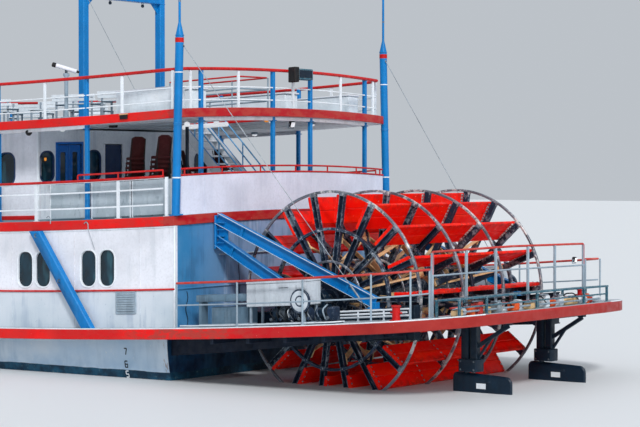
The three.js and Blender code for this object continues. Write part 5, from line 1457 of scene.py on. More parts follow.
def build_bearing(label, side):
    piece = Piece(f"shaft_bearing_{label}_dressed")
    y0, y1 = sorted((side * (BEAM_Y - 0.15), side * (BEAM_Y + 0.15)))
    outline = [(-0.26, -0.302), (0.26, -0.302), (0.26, -0.22), (0.235, -0.2), (0.235, 0.0)]
    outline += [(0.235 * math.cos(math.radians(t)), 0.02 + 0.235 * math.sin(math.radians(t)))
                for t in range(10, 171, 16)]
    outline += [(-0.235, 0.0), (-0.235, -0.2), (-0.26, -0.22)]
    hole = ring(0.1515, 32)
    piece.plate(outline, [hole], lambda u, v, y: (AXLE_X + u, y, AXLE_Z + v), y1, y0, "dark_blue", 0.4, 0.008)
    for way in (1, -1):
        low = (AXLE_X + way * 0.247 - 0.013, y0 + 0.02, AXLE_Z - 0.06)
        piece.block(low, (low[0] + 0.026, y1 - 0.02, AXLE_Z + 0.05), "steel", 0.005, straight)
        for yy in (y0 + 0.06, y1 - 0.06):
            piece.bolt((AXLE_X + way * 0.2, yy, AXLE_Z + 0.12), (way * 0.5, 0, 1), 0.02, "steel", 0.03)
    piece.lathe([(0.02, 0), (0.02, 0.05), (0.035, 0.06), (0.035, 0.09), (0.01, 0.1)],
                (AXLE_X, side * BEAM_Y, AXLE_Z + 0.25), "steel", 12)
    piece.make(f"shaft_bearing_{label}", slot="steel")


def build_strut(label, side):
    half = second_half(AFT_X)
    face = aft_face(half, BEAM_Y - 0.095) - LIP - HAIR
    y = side * BEAM_Y
    piece = Piece(f"wheel_strut_{label}_dressed")
    section = girder(0.19, 0.28, 0.022, 0.03)
    for top_z, foot_x, foot_z, highlight_paint in ((4.38, -19.25, 2.30, "trim"), (3.78, -17.12, 2.19, "pale_blue")):
        top, foot = Vector((face - 0.07, y, top_z)), Vector((foot_x, y, foot_z))
        piece.bar(top, foot, section, "blue")
        along = (foot - top).normalized()
        over = along.cross(Vector((0, 1, 0)))
        # Thin pale strips along the flange edges are painted highlights, white on the upper strut and pale
        # blue on the lower.
        for way in (1, -1):
            edge = over * way * 0.143 + Vector((0, side * 0.088, 0))
            piece.bar(top + edge, foot + edge, (0.026, 0.01, 0.003), highlight_paint)
        for share in (1 / 6, 5 / 6):
            for d in (-0.055, 0.055):
                spot = top.lerp(foot, share) + Vector((0, d, 0))
                piece.bar(spot - over * 0.118, spot + over * 0.118, (0.012, 0.07, 0.002), "blue")
    y0, y1 = y - 0.095, y + 0.095
    piece.block((face - 0.05, y0, 3.55), (face, y1, 4.46), "blue", 0.01, straight)
    gusset = [(face - 0.09, 3.62), (face - 0.09, 4.4), (face - 0.42, 4.18), (face - 0.42, 3.6)]
    piece.skin([[(u, y + d, v) for u, v in gusset] for d in (-0.01, 0.01)], "blue")
    for z in (3.72, 3.9, 4.08, 4.26):
        for yy in (y0 + 0.008, y1 - 0.008):
            piece.block((face - 0.34, yy - 0.008, z - 0.012), (face - 0.09, yy + 0.008, z + 0.012), "blue",
                        0.003, straight)
            piece.block((face - 0.34, min(yy, y), z - 0.01), (face - 0.09, max(yy, y), z + 0.01), "blue",
                        0.003, straight)
    for z in (3.58, 3.8, 4.2, 4.42):
        for yy in (y - 0.06, y + 0.06):
            piece.bolt((face - 0.1, yy, z), (-1, 0, 0), 0.016, "steel")
    piece.block((-19.32, y0, 2.12), (-19.09, y1, 2.3), "blue", 0.008, straight)
    piece.block((-17.21, y0, 1.987), (-16.96, y1, 2.2), "blue", 0.008, straight)
    piece.block((-19.4, y0 - 0.03, 2.125), (-19.0, y1 + 0.03, 2.15), "blue", 0.006, straight)
    piece.make(f"wheel_strut_{label}", slot="blue_paint")


def build_steering():
    x, y = RUDDER_X, RUDDER_Y
    for label, side in SIDES:
        at = side * y
        piece = Piece(f"rudder_{label}_blade", f"rudder_{label}_body")
        aft_x, fore = x - 1.36, x + 0.39
        outline = [(aft_x, -1.0), (fore, -1.0)]
        outline += [(fore - 0.14 + 0.14 * math.cos(math.radians(t)), 0.36 + 0.14 * math.sin(math.radians(t)))
                    for t in range(0, 91, 15)]
        outline += [(aft_x + 0.18 - 0.18 * math.sin(math.radians(t)), 0.26 + 0.18 * math.cos(math.radians(t)))
                    for t in range(0, 91, 15)]
        foil = lambda u: 0.085 * (1 - 0.6 * ((u - x + 0.1) / 1.3) ** 2)
        piece.plate(outline, [], lambda u, v, way: (u, at + way * foil(u), v), 1, -1, "dark_blue", 0.14, 0.03)
        for z in (-0.6, -0.1, 0.3):
            for way in (1, -1):
                low = (x - 0.75, at + way * 0.068 - 0.012, z - 0.02)
                piece.block(low, (fore - 0.2, low[1] + 0.024, z + 0.02), "dark_blue", 0.006, straight)
        for way in (1, -1):
            low = (x - 0.62, at + way * 0.08 - 0.008, 0.1)
            piece.block(low, (x - 0.34, low[1] + 0.016, 0.24), "trim", 0.003, straight)
        piece.lathe([(0.07, -1.0), (0.07, 2.22), (0.05, 2.245)], (x, at, 0), "dark_blue", 24)
        y0, y1 = sorted((side * (y - 0.56), side * y))
        piece.block((x - 0.05, y0, 2.14), (x + 0.05, y1, 2.24), "dark_blue", 0.012, straight)
        piece.bolt((x, side * (y - 0.5), 2.24), (0, 0, 1), 0.03, "steel")
        piece.make(f"rudder_{label}", slot="dark_blue")
        build_hanger(label, x, at)


def build_hanger(label, x, at):
    piece = Piece(f"rudder_hanger_{label}_dressed")
    second, low = -21.26, 0.83
    under = MAIN_UNDER - HAIR
    hole = circle(x, at, 0.0735, 20)
    piece.plate(rounded(x, at, 0.22, 0.22, 0.02, 2), [hole], level, under + lift(x, 0, 0), low, "dark_blue",
                0.5, 0.004)
    piece.skin([[(second + a, at + b, z) for a, b in rect(0.2, 0.2, 0.02)]
                for z in (low, 1.2, under + lift(second, at, under))], "dark_blue")
    collar = rounded(-21.13, at, 0.56, 0.4, 0.06, 3)
    piece.plate(collar, [hole], level, 0.85, 0.525, "dark_blue", 0.5, 0.012)
    for z in (0.58, 0.79):
        for dx in (-0.2, 0.2):
            for way in (1, -1):
                piece.bolt((-21.13 + dx, at + way * 0.2, z), (0, way, 0), 0.018, "steel")
    for a, b, c, d, wide in ((-21.3, 1.15, -22.25, 1.735, 0.1), (-21.3, 0.8, -21.75, 1.43, 0.07)):
        piece.bar((a, at, b), (c, at, d), (wide, wide, 0.012), "dark_blue")
    piece.block((-22.33, at - 0.08, MAIN_UNDER - 0.06), (-22.15, at + 0.08, MAIN_UNDER - HAIR), "dark_blue")
    piece.make(f"rudder_hanger_{label}", slot="dark_blue")


STERN_LINE = [(-14.05, 5.2), (-16.12, 5.2), (-18.25, 5.2), (-20.37, 5.2), (-21.2, 4.7), (-21.2, 3.87)]


def build_stern_rails():
    top = MAIN_TOP + 1.18
    for label, side in SIDES:
        piece = Piece(f"stern_rail_{label}_dressed")
        line = [(x, side * y) for x, y in STERN_LINE]
        for high, radius, paint in ((top, 0.03, "faded_red"), (MAIN_TOP + 0.6, 0.02, "grey")):
            piece.tube(arc([up(x, y, high) for x, y in line], 0.25), radius, paint, 12)
        for x, y in line:
            piece.pole(x, y, MAIN_ON, top, 0.026, "grey", 10)
            piece.lathe([(0.06, 0), (0.06, 0.012), (0.03, 0.03)], up(x, y, MAIN_ON), "grey", 12)
        piece.make(f"stern_rail_{label}", slot="rail_red")
    piece = Piece("catwalk_rail_dressed")
    ys = (3.75, 2.2, 0.8, -0.8, -2.2, -3.75)
    x, top = -21.2, MAIN_TOP + 1.6
    piece.tube(arc([up(x, 3.75, MAIN_TOP + 1.05), up(x, 3.75, top), up(x, 0, top), up(x, -3.75, top),
                    up(x, -3.75, MAIN_TOP + 1.05)], 0.06), 0.03, "faded_red", 12)
    piece.tube([up(x, 3.75, MAIN_TOP + 1.02), up(x, 0, MAIN_TOP + 1.02), up(x, -3.75, MAIN_TOP + 1.02)],
               0.024, "grey", 10)
    for y in ys:
        post(piece, x, y, MAIN_ON, top - 0.02, "grey", 0.05, 0.08)
    flood_lamp(piece, up(x + 0.02, -3.3, top - 0.42), (-1, 0, -0.2), 0.14)
    piece.make("catwalk_rail", slot="rail_red")
    build_platform()


def build_platform():
    piece = Piece("steering_frame")
    aft, fore, half, top = -22.0, -21.27, 3.75, MAIN_TOP + 0.44
    for x in (aft + 0.03, fore - 0.03):
        piece.sweep([up(x, y, top - 0.025) for y in (-half, -1.9, 0, 1.9, half)], (0.06, 0.05, 0.01), "teal")
    for y in (-half + 0.03, -2.45, -1.2, 0, 1.2, 2.45, half - 0.03):
        piece.sweep([up(aft, y, top - 0.025), up(fore, y, top - 0.025)], (0.05, 0.05, 0.01), "teal")
    bars = 16
    for n in range(bars):
        y = -half + 0.1 + (2 * half - 0.2) * n / (bars - 1)
        piece.sweep([up(aft + 0.05, y, top - 0.012), up(fore - 0.05, y, top - 0.012)], (0.12, 0.014, 0.003),
                    "galvanised")
    for y in (3.7, 2.45, 0, -2.45, -3.7):
        for x in (aft + 0.03, fore - 0.03):
            post(piece, x, y, MAIN_ON, top - 0.03, "teal", 0.06, 0.06)
    piece.sweep([up(aft + 0.03, y, MAIN_TOP + 0.21) for y in (-half + 0.06, 0, half - 0.06)],
                (0.04, 0.04, 0.008), "teal")
    piece.make("steering_platform", slot="teal_paint")
    build_steering_gear()


def build_steering_gear():
    """Fixed rams, valve boxes and floats stowed under the stern frame."""
    gear = Piece("steering_gear")
    deck = MAIN_ON
    paints = ("cream", "trim", "orange", "faded_red", "trim", "cream", "galvanised")
    for n in range(26):
        y = 3.45 - 0.276 * n
        paint, high = paints[n % 7], 0.1 + 0.05 * ((n * 5) % 4)
        x = -21.72 + 0.1 * math.sin(n * 1.9)
        if n % 3 == 0:
            gear.block((x - 0.16, y - 0.1, deck), (x + 0.12, y + 0.1, deck + high + 0.06), paint, 0.03)
            gear.block((x - 0.1, y - 0.12, deck + high + 0.06), (x + 0.06, y + 0.12, deck + high + 0.09),
                       "grey", 0.01)
        elif n % 3 == 1:
            gear.lathe([(0.03, -0.2), (0.09, -0.17), (0.1, 0.1), (0.06, 0.17), (0.03, 0.19)],
                       up(x, y, deck + 0.1), paint, 18, (0.3 * math.sin(n), 1, 0))
        else:
            gear.lathe([(0.11, 0), (0.12, 0.02), (0.12, high), (0.1, high + 0.02), (0.04, high + 0.03)],
                       up(x, y, deck), paint, 20)
    for x, high, paint in ((-21.52, 0.07, "trim"), (-21.9, 0.1, "grey"), (-21.5, 0.2, "faded_red")):
        gear.tube([up(x, 3.4 - 0.68 * n, deck + high) for n in range(11)], 0.025, paint, 10)
    for y in (2.9, 1.3, -0.4, -2.1):
        path = [up(-21.52, y, deck + 0.07), up(-21.56, y, deck + 0.3), up(-21.74, y - 0.2, deck + 0.3),
                up(-21.9, y - 0.2, deck + 0.1)]
        gear.tube(arc(path, 0.08), 0.018, "rubber", 8)
    gear.make(slot="red_paint")


def build_chests():
    for label, side in SIDES:
        piece = Piece(f"machinery_chest_{label}_dressed")
        y0, y1 = sorted((side * 4.3, side * 4.94))
        z0, z1 = MAIN_TOP + 0.5, MAIN_TOP + 1.15
        aft, fore = -18.15, -16.22
        piece.block((aft, y0, z0), (fore, y1, z1 - 0.07), "chest", 0.012)
        piece.block((aft - 0.012, y0 - 0.012, z1 - 0.065), (fore + 0.012, y1 + 0.012, z1), "chest", 0.015)
        out = side * 4.94
        grip = [up(-17.45 + d, out + side * reach, z1 - 0.19)
                for d, reach in ((-0.14, 0), (-0.14, 0.04), (0.14, 0.04), (0.14, 0))]
        piece.tube(arc(grip, 0.02), 0.012, "steel", 8)
        for x in (aft + 0.06, fore - 0.12):
            for y in (y0 + 0.05, y1 - 0.11):
                piece.block((x, y, MAIN_ON), (x + 0.06, y + 0.06, z0 + 0.01), "grey", 0.008)
        for x in (aft + 0.3, -17.0, fore - 0.3):
            piece.sweep([up(x, out + side * 0.002, z0 + 0.03), up(x, out + side * 0.002, z1 - 0.08)],
                        (0.03, 0.006, 0.002), "chest")
        d0, d1 = sorted((side * 4.35, side * 4.7))
        piece.block((fore - 0.01, d0, MAIN_TOP + 0.65), (-14.3, d1, MAIN_TOP + 0.83), "duct", 0.012)
        for x in (-15.9, -15.3, -14.7):
            piece.block((x - 0.02, d0 - 0.012, MAIN_TOP + 0.638), (x + 0.02, d1 + 0.012, MAIN_TOP + 0.842),
                        "duct", 0.005)
        c0, c1 = sorted((side * 4.2, side * 4.6))
        piece.block((-16.0, c0, MAIN_ON), (-14.75, c1, MAIN_TOP + 0.5), "duct", 0.015)
        for x in (-15.6, -15.2):
            piece.block((x, c0 - 0.006, MAIN_TOP + 0.06), (x + 0.36, c1 + 0.006, MAIN_TOP + 0.44), "duct",
                        0.004)
        piece.block((-14.46, d0 + 0.04, MAIN_ON), (-14.36, d1 - 0.04, MAIN_TOP + 0.66), "duct", 0.008)
        build_machinery(piece, side)
        piece.make(f"machinery_chest_{label}", slot="white_paint")


def build_machinery(piece, side):
    """The pump set under the chest: motor, pump, white cover disc and pipes."""
    low = MAIN_ON
    mid = side * 4.62
    piece.block((-18.95, mid - 0.22, low), (-16.9, mid + 0.22, low + 0.06), "dark_blue", 0.01)
    motor = up(-18.1, mid, low + 0.24)
    profile = [(0.12, 0.0), (0.17, 0.02)]
    for n in range(9):
        profile += [(0.19, 0.04 + 0.06 * n), (0.19, 0.06 + 0.06 * n), (0.165, 0.063 + 0.06 * n),
                    (0.165, 0.077 + 0.06 * n)]
    piece.lathe([*profile, (0.15, 0.6), (0.1, 0.64)], motor, "wheel_dark", 24, ALONG)
    piece.lathe([(0.08, 0.0), (0.2, 0.03), (0.22, 0.1), (0.2, 0.18), (0.1, 0.22)], up(-17.4, mid, low + 0.27),
                "steel", 28, ALONG)
    piece.lathe([(0.1, 0.0), (0.15, 0.04), (0.15, 0.3), (0.08, 0.36)], up(-18.62, mid, low + 0.24),
                "dark_blue", 20, ALONG)
    piece.block((-18.9, mid - 0.16, low + 0.05), (-18.66, mid + 0.16, low + 0.42), "wheel_dark", 0.03)
    piece.block((-17.15, mid - 0.18, low + 0.05), (-16.95, mid + 0.18, low + 0.44), "dark_blue", 0.03)
    for n in range(7):
        x = -18.85 + 0.3 * n
        path = [up(x, mid + side * 0.1, low + 0.06), up(x, mid + side * 0.24, low + 0.1 + 0.02 * n),
                up(x + 0.1, mid + side * 0.26, low + 0.3), up(x + 0.16, mid + side * 0.12, low + 0.42)]
        piece.tube(arc(path, 0.06), 0.014 + 0.004 * (n % 3), ("rubber", "wheel_dark", "steel")[n % 3], 8)
        piece.lathe([(0.03, 0), (0.045, 0.01), (0.045, 0.05), (0.02, 0.06)],
                    up(x + 0.04, mid + side * 0.25, low
                       + 0.16), ("steel", "dark_blue", "wheel_dark")[n % 3], 12, (0, side, 0))
    disc = Vector((-18.0, side * 4.99, 2.36))
    piece.lathe([(0.3, -0.06), (0.31, -0.05), (0.31, 0.0), (0.3, 0.008), (0.27, 0.006)], disc, "wheel_dark",
                40, (0, side, 0))
    piece.lathe([(0.27, -0.03), (0.27, 0.004), (0.25, 0.012), (0.11, 0.004), (0.1, 0.022), (0.03, 0.028)],
                disc, "chest", 40, (0, side, 0))
    piece.tube([disc, disc + Vector((0, -side * 0.06, 0))], 0.04, "steel", 12)
    for n, (x, reach) in enumerate(((-18.7, 0.2), (-18.2, 0.26), (-17.6, 0.22), (-17.2, 0.18))):
        path = [up(x, mid - side * 0.1, low + 0.06), up(x, mid + side * reach, low + 0.1),
                up(x + 0.12, mid + side * reach, low + 0.36), up(x + 0.1, mid, low + 0.48)]
        piece.tube(arc(path, 0.1), 0.02, ("grey", "rubber", "trim", "rubber")[n], 8)
    for x, y, r in ((-16.2, 4.8, 0.04), (-18.4, 4.75, 0.035)):
        path = [up(x, side * (y - 0.3), low + 0.04), up(x - 0.1, side * y, low + 0.05),
                up(x + 0.6, side * (y + 0.12), low + 0.045), up(x + 1.6, side * (y + 0.1), low + 0.045)]
        piece.tube(arc(path, 0.3), r, "grey", 8)


def build_deck_pipes():
    """Low pipe rails along the wheel well and the white pipe on the guard."""
    piece = Piece("well_pipe_rails")
    for side in (1, -1):
        for high, y in ((0.1, 3.85), (0.26, 3.85), (0.18, 3.98)):
            path = [up(x, side * y, MAIN_TOP + high) for x in (-20.6, -19.8, -19.0, -18.3)]
            piece.tube(path, 0.024, "trim", 8)
        for x in (-20.6, -19.8, -19.0, -18.3):
            post(piece, x, side * 3.85, MAIN_ON, MAIN_TOP + 0.28, "trim", 0.04, 0.04)
        path = [up(-14.0, side * 5.0, MAIN_TOP + 0.05), up(-15.5, side * 5.05, MAIN_TOP + 0.05),
                up(-18.9, side * 5.05, MAIN_TOP + 0.05), up(-19.2, side * 4.7, MAIN_TOP + 0.05)]
        piece.tube(arc(path, 0.3), 0.018, "trim", 8)
        # A dark sheet hung below the guard's edge is painted shade under the deck, deepest forward.
        shade_sheet = []
        for x, deep in ((-13.22, 0.5), (-15.0, 0.42), (-17.0, 0.3), (-19.0, 0.18), (-20.5, 0.1)):
            z = MAIN_UNDER - HAIR
            shade_sheet.append([up(x, side * y, v) for y,
                          v in ((4.38, z), (4.46, z), (4.46, z - deep), (4.38, z - deep))])
        piece.skin(shade_sheet, "underside")
    piece.make(slot="white_paint")


def build_bollards():
    for label, side in SIDES:
        piece = Piece(f"bollard_{label}_dressed")
        foot = up(-20.67, side * 4.55, MAIN_ON)
        piece.lathe([(0.17, -0.002), (0.17, 0.016), (0.11, 0.022), (0.1, 0.05), (0.1, 0.33), (0.123, 0.342),
                     (0.125, 0.37), (0.11, 0.385), (0.02, 0.39)], foot, "rail_red", 32)
        for way in (1, -1):
            piece.tube([foot + Vector((way * 0.09, 0, 0.2)), foot + Vector((way * 0.17, 0, 0.2))], 0.024,
                       "rail_red", 10)
        piece.make(f"bollard_{label}", slot="red_paint")


def build_fenders():
    for label, side in SIDES:
        piece = Piece(f"fender_beam_{label}_dressed")
        y0, y1 = sorted((side * 5.17, side * 5.35))
        foot, top = MAIN_ON, MAIN_ROOF
        outline = [(-11.1, foot), (-10.7, foot), (-8.7, top), (-9.1, top)]
        sampled = []
        for (a, b), (c, d) in zip(outline, [*outline[1:], outline[0]]):
            sampled += [(a + (c - a) * n / 5, b + (d - b) * n / 5) for n in range(5)]
        piece.plate(sampled, [], upright_bent, y1, y0, "blue", 0.6, 0.02)
        for u, v in ((-9.0, top - 0.12), (-9.9, foot + 1.3)):
            eye = up(u, side * 5.37, v)
            piece.tube(ring_path(eye, 0.05, ALONG, 14), 0.013, "steel", 8, True)
        for x, z in ((-9.4, SECOND_TOP + 0.03), (-10.77, SECOND_UNDER + 0.1)):
            base = up(x, side * (second_half(x) + 0.01), z)
            path = [base + Vector((0, 0, -0.1)), base + Vector((0, 0, 0.05)), base
                    + Vector((0.06, side * 0.02, 0.12)), base + Vector((0.12, side * 0.03, 0.06))]
            piece.tube(arc(path, 0.05), 0.014, "galvanised", 8)
        lead = up(-10.77, side * (second_half(-10.77) + 0.02), SECOND_UNDER + 0.02)
        piece.tube([lead, up(-11.0, side * second_half(-11.0), 3.3)], 0.008, "galvanised", 6)
        piece.make(f"fender_beam_{label}", slot="blue_paint")


def build_foredeck():
    piece = Piece("capstan_dressed")
    base = up(16.9, 0, MAIN_ON)
    piece.lathe([(0.38, -0.02), (0.38, 0.06), (0.36, 0.08), (0.33, 0.09), (0.33, 0.15), (0.25, 0.18),
                 (0.19, 0.24), (0.175, 0.4), (0.17, 0.54), (0.2, 0.6), (0.27, 0.65), (0.29, 0.66),
                 (0.29, 0.74), (0.26, 0.75), (0.05, 0.752)], base, "dark_blue", 40)
    for spot in ring(1, 8):
        way = Vector((*spot, 0))
        piece.bar(base + way * 0.2 + Vector((0, 0, 0.24)), base + way * 0.19 + Vector((0, 0, 0.56)),
                  (0.03, 0.04, 0.005), "dark_blue")
        piece.bolt(base + way * 0.345 + Vector((0, 0, 0.085)), (0, 0, 1), 0.018, "steel")
    piece.make("capstan", slot="dark_blue")
    piece = Piece("jackstaff_dressed")
    base = up(20.7, 0, MAIN_ON)
    piece.lathe([(0.18, -0.01), (0.18, 0.05), (0.16, 0.06), (0.07, 0.07), (0.055, 0.2), (0.05, 1.2),
                 (0.04, 2.3), (0.028, 3.34), (0.04, 3.36), (0.04, 3.38)], base, "blue", 24)
    piece.lathe([(0.02, 3.33), (0.06, 3.345), (0.088, 3.38), (0.095, 3.42), (0.088, 3.46), (0.06, 3.495),
                 (0.01, 3.51)], base, "cream", 24)
    piece.make("jackstaff", slot="blue_paint")
    gear = Piece("foredeck_fittings")
    for x, y in ((15.2, 3.6), (15.2, -3.6), (18.6, 2.2), (18.6, -2.2), (2.0, 5.55), (2.0, -5.55), (-6.0, 5.5),
                 (-6.0, -5.5)):
        here = up(x, y, MAIN_ON)
        for d in (-0.16, 0.16):
            gear.lathe([(0.1, 0), (0.1, 0.015), (0.06, 0.03), (0.055, 0.22), (0.075, 0.24), (0.075, 0.26),
                        (0.02, 0.27)], here + Vector((d, 0, 0)), "rail_red", 20)
        gear.block((-0.3, -0.12, 0), (0.3, 0.12, 0.016), "rail_red", 0.006, lambda p: here + p)
    for side in (1, -1):
        line = main_half.points(side, 0.12, 14.9, 21.3)
        for high, radius, paint in ((1.0, 0.034, "rail_red"), (0.66, 0.02, "grey"), (0.34, 0.02, "grey")):
            gear.tube([up(x, y, MAIN_TOP + high) for x, y in line], radius, paint, 10)
        for x in (14.9, 16.2, 17.5, 18.8, 20.0, 21.3):
            y = side * (main_half(x) - 0.12)
            gear.pole(x, y, MAIN_ON, MAIN_TOP + 1.0, 0.025, "grey", 10)
    gear.make(slot="red_paint")


def chair(piece, x, y, deck, turn, rows):
    """Banquet chairs, stacked when rows is more than one."""
    c, s = math.cos(turn), math.sin(turn)
    for n in range(rows):
        rise, slide = 0.13 * n, 0.045 * n
        base = up(x, y, deck)

        def place(p, rise=rise, slide=slide):
            return base + Vector(((p[0] + slide) * c - p[1] * s, (p[0] + slide) * s + p[1] * c, p[2] + rise))
        piece.block((-0.22, -0.22, 0.42), (0.22, 0.22, 0.5), "maroon", 0.03, place)
        back = []
        for t in (0, 0.03, 0.3, 0.6, 0.8, 0.9, 0.96, 1.0):
            wide = 0.22 * (1 - 0.1 * t) * (0.15 + 0.85 * min(1, (1.02 - t) * 8) ** 0.5)
            u0, z = 0.17 + 0.12 * t, 0.53 + 0.55 * t
            thick = 0.045 if 0 < t < 1 else 0.02
            back.append([place((u0 + thick * 0.6 * (1 - u * u), wide * u, z))
                         for u in (-1, -0.8, -0.3, 0.3, 0.8,
                                   1)] + [place((u0 - 0.02 - thick * 0.5 * (1 - u * u), wide * u, z))
                                          for u in (0.95, 0.5, 0, -0.5, -0.95)])
        piece.skin(back, "maroon")
        for a in (-1, 1):
            piece.tube([place((-0.2, 0.2 * a, 0)), place((-0.2, 0.2 * a, 0.44))], 0.012, "black", 6)
            piece.tube([place((0.24, 0.2 * a, 0)), place((0.2, 0.2 * a, 0.44)),
                        place((0.34, 0.19 * a, 1.02))], 0.012, "black", 6)


def bench(piece, x, y, deck, turn):
    """A slatted bench with a back."""
    c, s = math.cos(turn), math.sin(turn)
    base = up(x, y, deck)
    place = lambda p: base + Vector((p[0] * c - p[1] * s, p[0] * s + p[1] * c, p[2]))
    half = 0.85
    for n in range(4):
        piece.block((-half, -0.2 + 0.11 * n, 0.42), (half, -0.11 + 0.11 * n, 0.45), "trim", 0.006, place)
    for n in range(2):
        z = 0.5 + 0.11 * n
        piece.block((-half, 0.23 + 0.02 * n, z), (half, 0.26 + 0.02 * n, z + 0.09), "trim", 0.006, place)
    for d in (-half + 0.15, half - 0.15):
        piece.block((d - 0.025, -0.2, 0), (d + 0.025, -0.15, 0.42), "seat_grey", 0.005, place)
        piece.block((d - 0.025, 0.2, 0), (d + 0.025, 0.25, 0.68), "seat_grey", 0.005, place)
        piece.block((d - 0.025, -0.2, 0.38), (d + 0.025, 0.25, 0.42), "seat_grey", 0.005, place)


def build_furniture():
    piece = Piece("saloon_chairs")
    for x, y, turn, rows in ((-10.3, 2.85, 2.6, 10), (-11.25, 2.9, 2.7, 10), (-8.3, -2.5, 1.0, 8),
                             (-9.6, -2.5, 1.4, 8), (-10.6, -3.2, 2.0, 1), (-11.6, -2.9, 1.2, 1)):
        chair(piece, x, y, SECOND_ON, turn, rows)
    piece.make(slot="dark_blue")
    piece = Piece("top_deck_benches")
    for x in (-10.4, -8.6, -5.2, -2.6, 0.0, 2.6):
        for side in (1, -1):
            bench(piece, x, side * 3.2, THIRD_ON, 0 if side > 0 else math.pi)
            if x > -8:
                bench(piece, x, side * 0.9, THIRD_ON, math.pi if side > 0 else 0)
    for side in (1, -1):
        piece.block((-12.2, side * 2.1 - 0.3, THIRD_ON), (-9.3, side * 2.1 + 0.3, THIRD_TOP + 0.62),
                    "trim", 0.02)
        piece.block((-12.25, side * 2.1 - 0.33, THIRD_TOP + 0.63),
                    (-9.25, side * 2.1 + 0.33, THIRD_TOP + 0.68), "white", 0.015)
        y0, y1 = sorted((side * 3.75, side * 4.25))
        piece.block((-13.1, y0, THIRD_ON), (-11.0, y1, THIRD_TOP + 0.6), "trim", 0.02)
        piece.block((-13.13, y0 - 0.03, THIRD_TOP + 0.605), (-10.97, y1 + 0.03, THIRD_TOP + 0.65), "white",
                    0.015)
        for x in (-11.45, -10.75, -10.0):
            piece.pad(x, side * 2.1 + side * 0.3, 0.006, 0.004, THIRD_TOP + 0.05, THIRD_TOP + 0.6, "grey",
                      0.002)
    guard = [(-10.05, -0.42), (-12.65, -0.42), (-12.65, 0.92), (-10.05, 0.92)]
    for high, paint in ((1.0, "rail_red"), (0.66, "grey"), (0.33, "grey")):
        piece.tube(arc([up(x, y, THIRD_TOP + high) for x, y in guard], 0.12), 0.024, paint, 8)
    for x, y in guard + [(-11.3, -0.42), (-11.3, 0.92)]:
        piece.pole(x, y, THIRD_TOP, THIRD_TOP + 1.0, 0.024, "grey", 8)
    piece.make(slot="white_paint")


def build_lamps():
    """Lamps and fittings under and along the third deck."""
    piece = Piece("deck_lamps")
    for x, y in ((-9.0, 4.3), (-9.0, -4.3), (-12.9, 2.2), (-13.2, 0.1), (-12.9, -2.2), (-5.0, 4.6),
                 (-1.0, 4.8), (3.0, 4.8), (7.0, 4.6), (-5.0, -4.6), (-1.0, -4.8), (3.0, -4.8), (7.0, -4.6)):
        here = up(x, y, THIRD_UNDER - 0.002)
        piece.lathe([(0.1, 0), (0.11, -0.02), (0.11, -0.05), (0.09, -0.07)], here, "grey", 20)
        piece.lathe([(0.085, -0.06), (0.085, -0.09), (0.05, -0.115), (0.01, -0.12)], here, "lamp", 20)
    flood_lamp(piece, up(-13.5, -0.45, THIRD_UNDER - 0.15), (-1, 0.2, -0.4), 0.17)
    piece.lathe([(0.06, 0), (0.075, -0.03), (0.06, -0.09), (0.02, -0.11)],
                up(-13.45, 0.65, THIRD_UNDER - 0.01), "amber", 16)
    half = third_half(-11.85)
    piece.block((-11.98, half - 0.01, THIRD_UNDER + 0.08), (-11.72, half + 0.05, THIRD_UNDER + 0.2), "black",
                0.01)
    piece.block((-12.0, half - 0.01, THIRD_UNDER + 0.2), (-11.7, half + 0.06, THIRD_UNDER + 0.225), "cream",
                0.005)
    path = [up(x, 0.95, THIRD_UNDER - 0.1) for x in (-12.25, -11.7, -11.1, -10.6)]
    piece.tube(path, 0.065, "lamp", 16)
    piece.tube([up(-13.6, y, THIRD_UNDER - 0.05) for y in (-3.5, -1.2, 1.2, 3.5)], 0.018, "black", 8)
    half = third_half(-7.2)
    piece.lathe([(0.07, 0), (0.09, 0.04), (0.09, 0.11), (0.06, 0.13)],
                up(-8.2, half - 0.3, THIRD_UNDER - 0.07), "black", 20, (-0.3, 1, -0.5))
    piece.block((-10.2, 3.3, THIRD_UNDER - 0.08), (-10.02, 3.5, SECOND_ROOF), "black", 0.015)
    post_x, post_y = -12.0, 2.4
    piece.pole(post_x, post_y, SECOND_TOP, SECOND_TOP + 2.45, 0.05, "dark_blue", 14)
    piece.lathe([(0.03, 0), (0.07, 0.03), (0.085, 0.08), (0.07, 0.13), (0.03, 0.155), (0.005, 0.16)],
                up(post_x, post_y, SECOND_TOP + 2.43), "lamp", 20)
    piece.make(slot="black_paint")


def build_scope():
    """The viewer on its post at the top deck's port rail."""
    piece = Piece("deck_viewer")
    base = up(-9.25, 4.4, THIRD_ON)
    piece.lathe([(0.16, 0), (0.16, 0.02), (0.07, 0.05), (0.055, 0.2), (0.055, 1.15), (0.09, 1.2),
                 (0.09, 1.26)], base, "grey", 20)
    head = base + Vector((0, 0, 1.4))
    way = Vector((0.55, 0.5, 0.22)).normalized()
    piece.tube([head - way * 0.3, head + way * 0.3], 0.06, "white", 20)
    piece.tube([head + way * 0.3, head + way * 0.4], 0.066, "black", 20)
    piece.tube([head + way * 0.39, head + way * 0.415], 0.045, "black", 20)
    piece.tube([head - way * 0.38, head - way * 0.28], 0.035, "black", 14)
    piece.tube([base + Vector((0, 0, 1.2)), head], 0.04, "steel", 12)
    piece.make(slot="steel")


def build_life_rings():
    piece = Piece("life_rings")
    for x in (-3.1, 3.0, 8.4):
        for side in (1, -1):
            centre = up(x, side * (saloon_half(x) + 0.07), SECOND_TOP + 0.42)
            path = ring_path(centre, 0.29, (0, 1, 0), 32)
            piece.tube(path, 0.06, "orange", 14, True)
            for n in range(4):
                turn = math.radians(45 + 90 * n)
                spot = centre + Vector((0.29 * math.cos(turn), 0, 0.29 * math.sin(turn)))
                tangent = Vector((-math.sin(turn), 0, math.cos(turn)))
                piece.tube([spot - tangent * 0.05, spot + tangent * 0.05], 0.064, "trim", 14)
    piece.make(slot="red_paint")


def build_engine():
    repaint("engine_block", "steel")


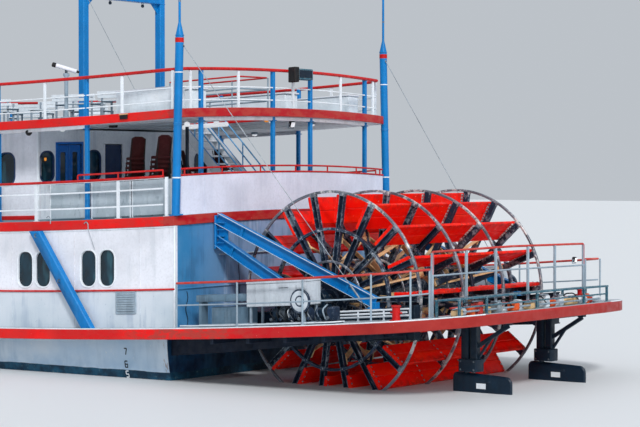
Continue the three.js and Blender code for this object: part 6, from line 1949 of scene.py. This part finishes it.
def build_camera():
    data = bpy.data.cameras.new("camera")
    data.lens = CAMERA_LENS
    data.sensor_width = 36.0
    data.clip_end = 500.0
    camera = bpy.data.objects.new("camera", data)
    bpy.context.scene.collection.objects.link(camera)
    forward = Vector((math.cos(CAMERA_PITCH) * math.cos(CAMERA_YAW),
                      math.cos(CAMERA_PITCH) * math.sin(CAMERA_YAW), math.sin(CAMERA_PITCH)))
    camera.location = Vector(CAMERA_AT) * MODEL
    camera.rotation_mode = "QUATERNION"
    camera.rotation_quaternion = forward.to_track_quat("-Z", "Y")
    bpy.context.scene.camera = camera


def build_lights():
    for name, way, energy, spread in (("key", KEY_WAY, 2.0, 10), ("fill", FILL_WAY, 0.75, 60)):
        sun = bpy.data.lights.new(name, "SUN")
        sun.energy = energy
        sun.angle = math.radians(spread)
        lamp = bpy.data.objects.new(name, sun)
        lamp.rotation_mode = "QUATERNION"
        lamp.rotation_quaternion = Vector(way).to_track_quat("-Z", "Y")
        bpy.context.scene.collection.objects.link(lamp)
    world = bpy.data.worlds.new("studio")
    bpy.context.scene.world = world
    world.use_nodes = True
    bpy.context.scene.view_settings.view_transform = "Standard"
    background = world.node_tree.nodes["Background"]
    background.inputs["Color"].default_value = (0.87, 0.93, 1.0, 1.0)
    background.inputs["Strength"].default_value = 0.58


def build_floor():
    mesh = bpy.data.meshes.new("floor")
    corners = [(FLOOR_HALF * (2 * i - 1), FLOOR_HALF * (2 * j - 1), 0) for i, j in SQUARE]
    mesh.from_pydata(corners, [], [(0, 1, 2, 3)])
    floor = bpy.data.objects.new("floor", mesh)
    bpy.context.scene.collection.objects.link(floor)
    paint = bpy.data.materials.new("floor_pale")
    paint.use_nodes = True
    shader = paint.node_tree.nodes["Principled BSDF"]
    shader.inputs["Base Color"].default_value = (0.78, 0.80, 0.82, 1.0)
    shader.inputs["Roughness"].default_value = 0.6
    mesh.materials.append(paint)


build_camera()
build_lights()
build_floor()
build_hull()
build_main_deck()
build_upper_decks()
build_cabin_sides()
build_cabin_ends()
build_saloon()
build_doors()
build_stairs()
build_pillars()
build_bulwark()
build_second_rail()
build_third_rail()
build_corner_posts()
build_king_posts()
build_pilothouse()
build_stacks()
build_wheel_frames()
build_wheel_boards()
build_carriers()
build_steering()
build_stern_rails()
build_chests()
build_deck_pipes()
build_bollards()
build_fenders()
build_foredeck()
build_furniture()
build_lamps()
build_scope()
build_life_rings()
build_engine()
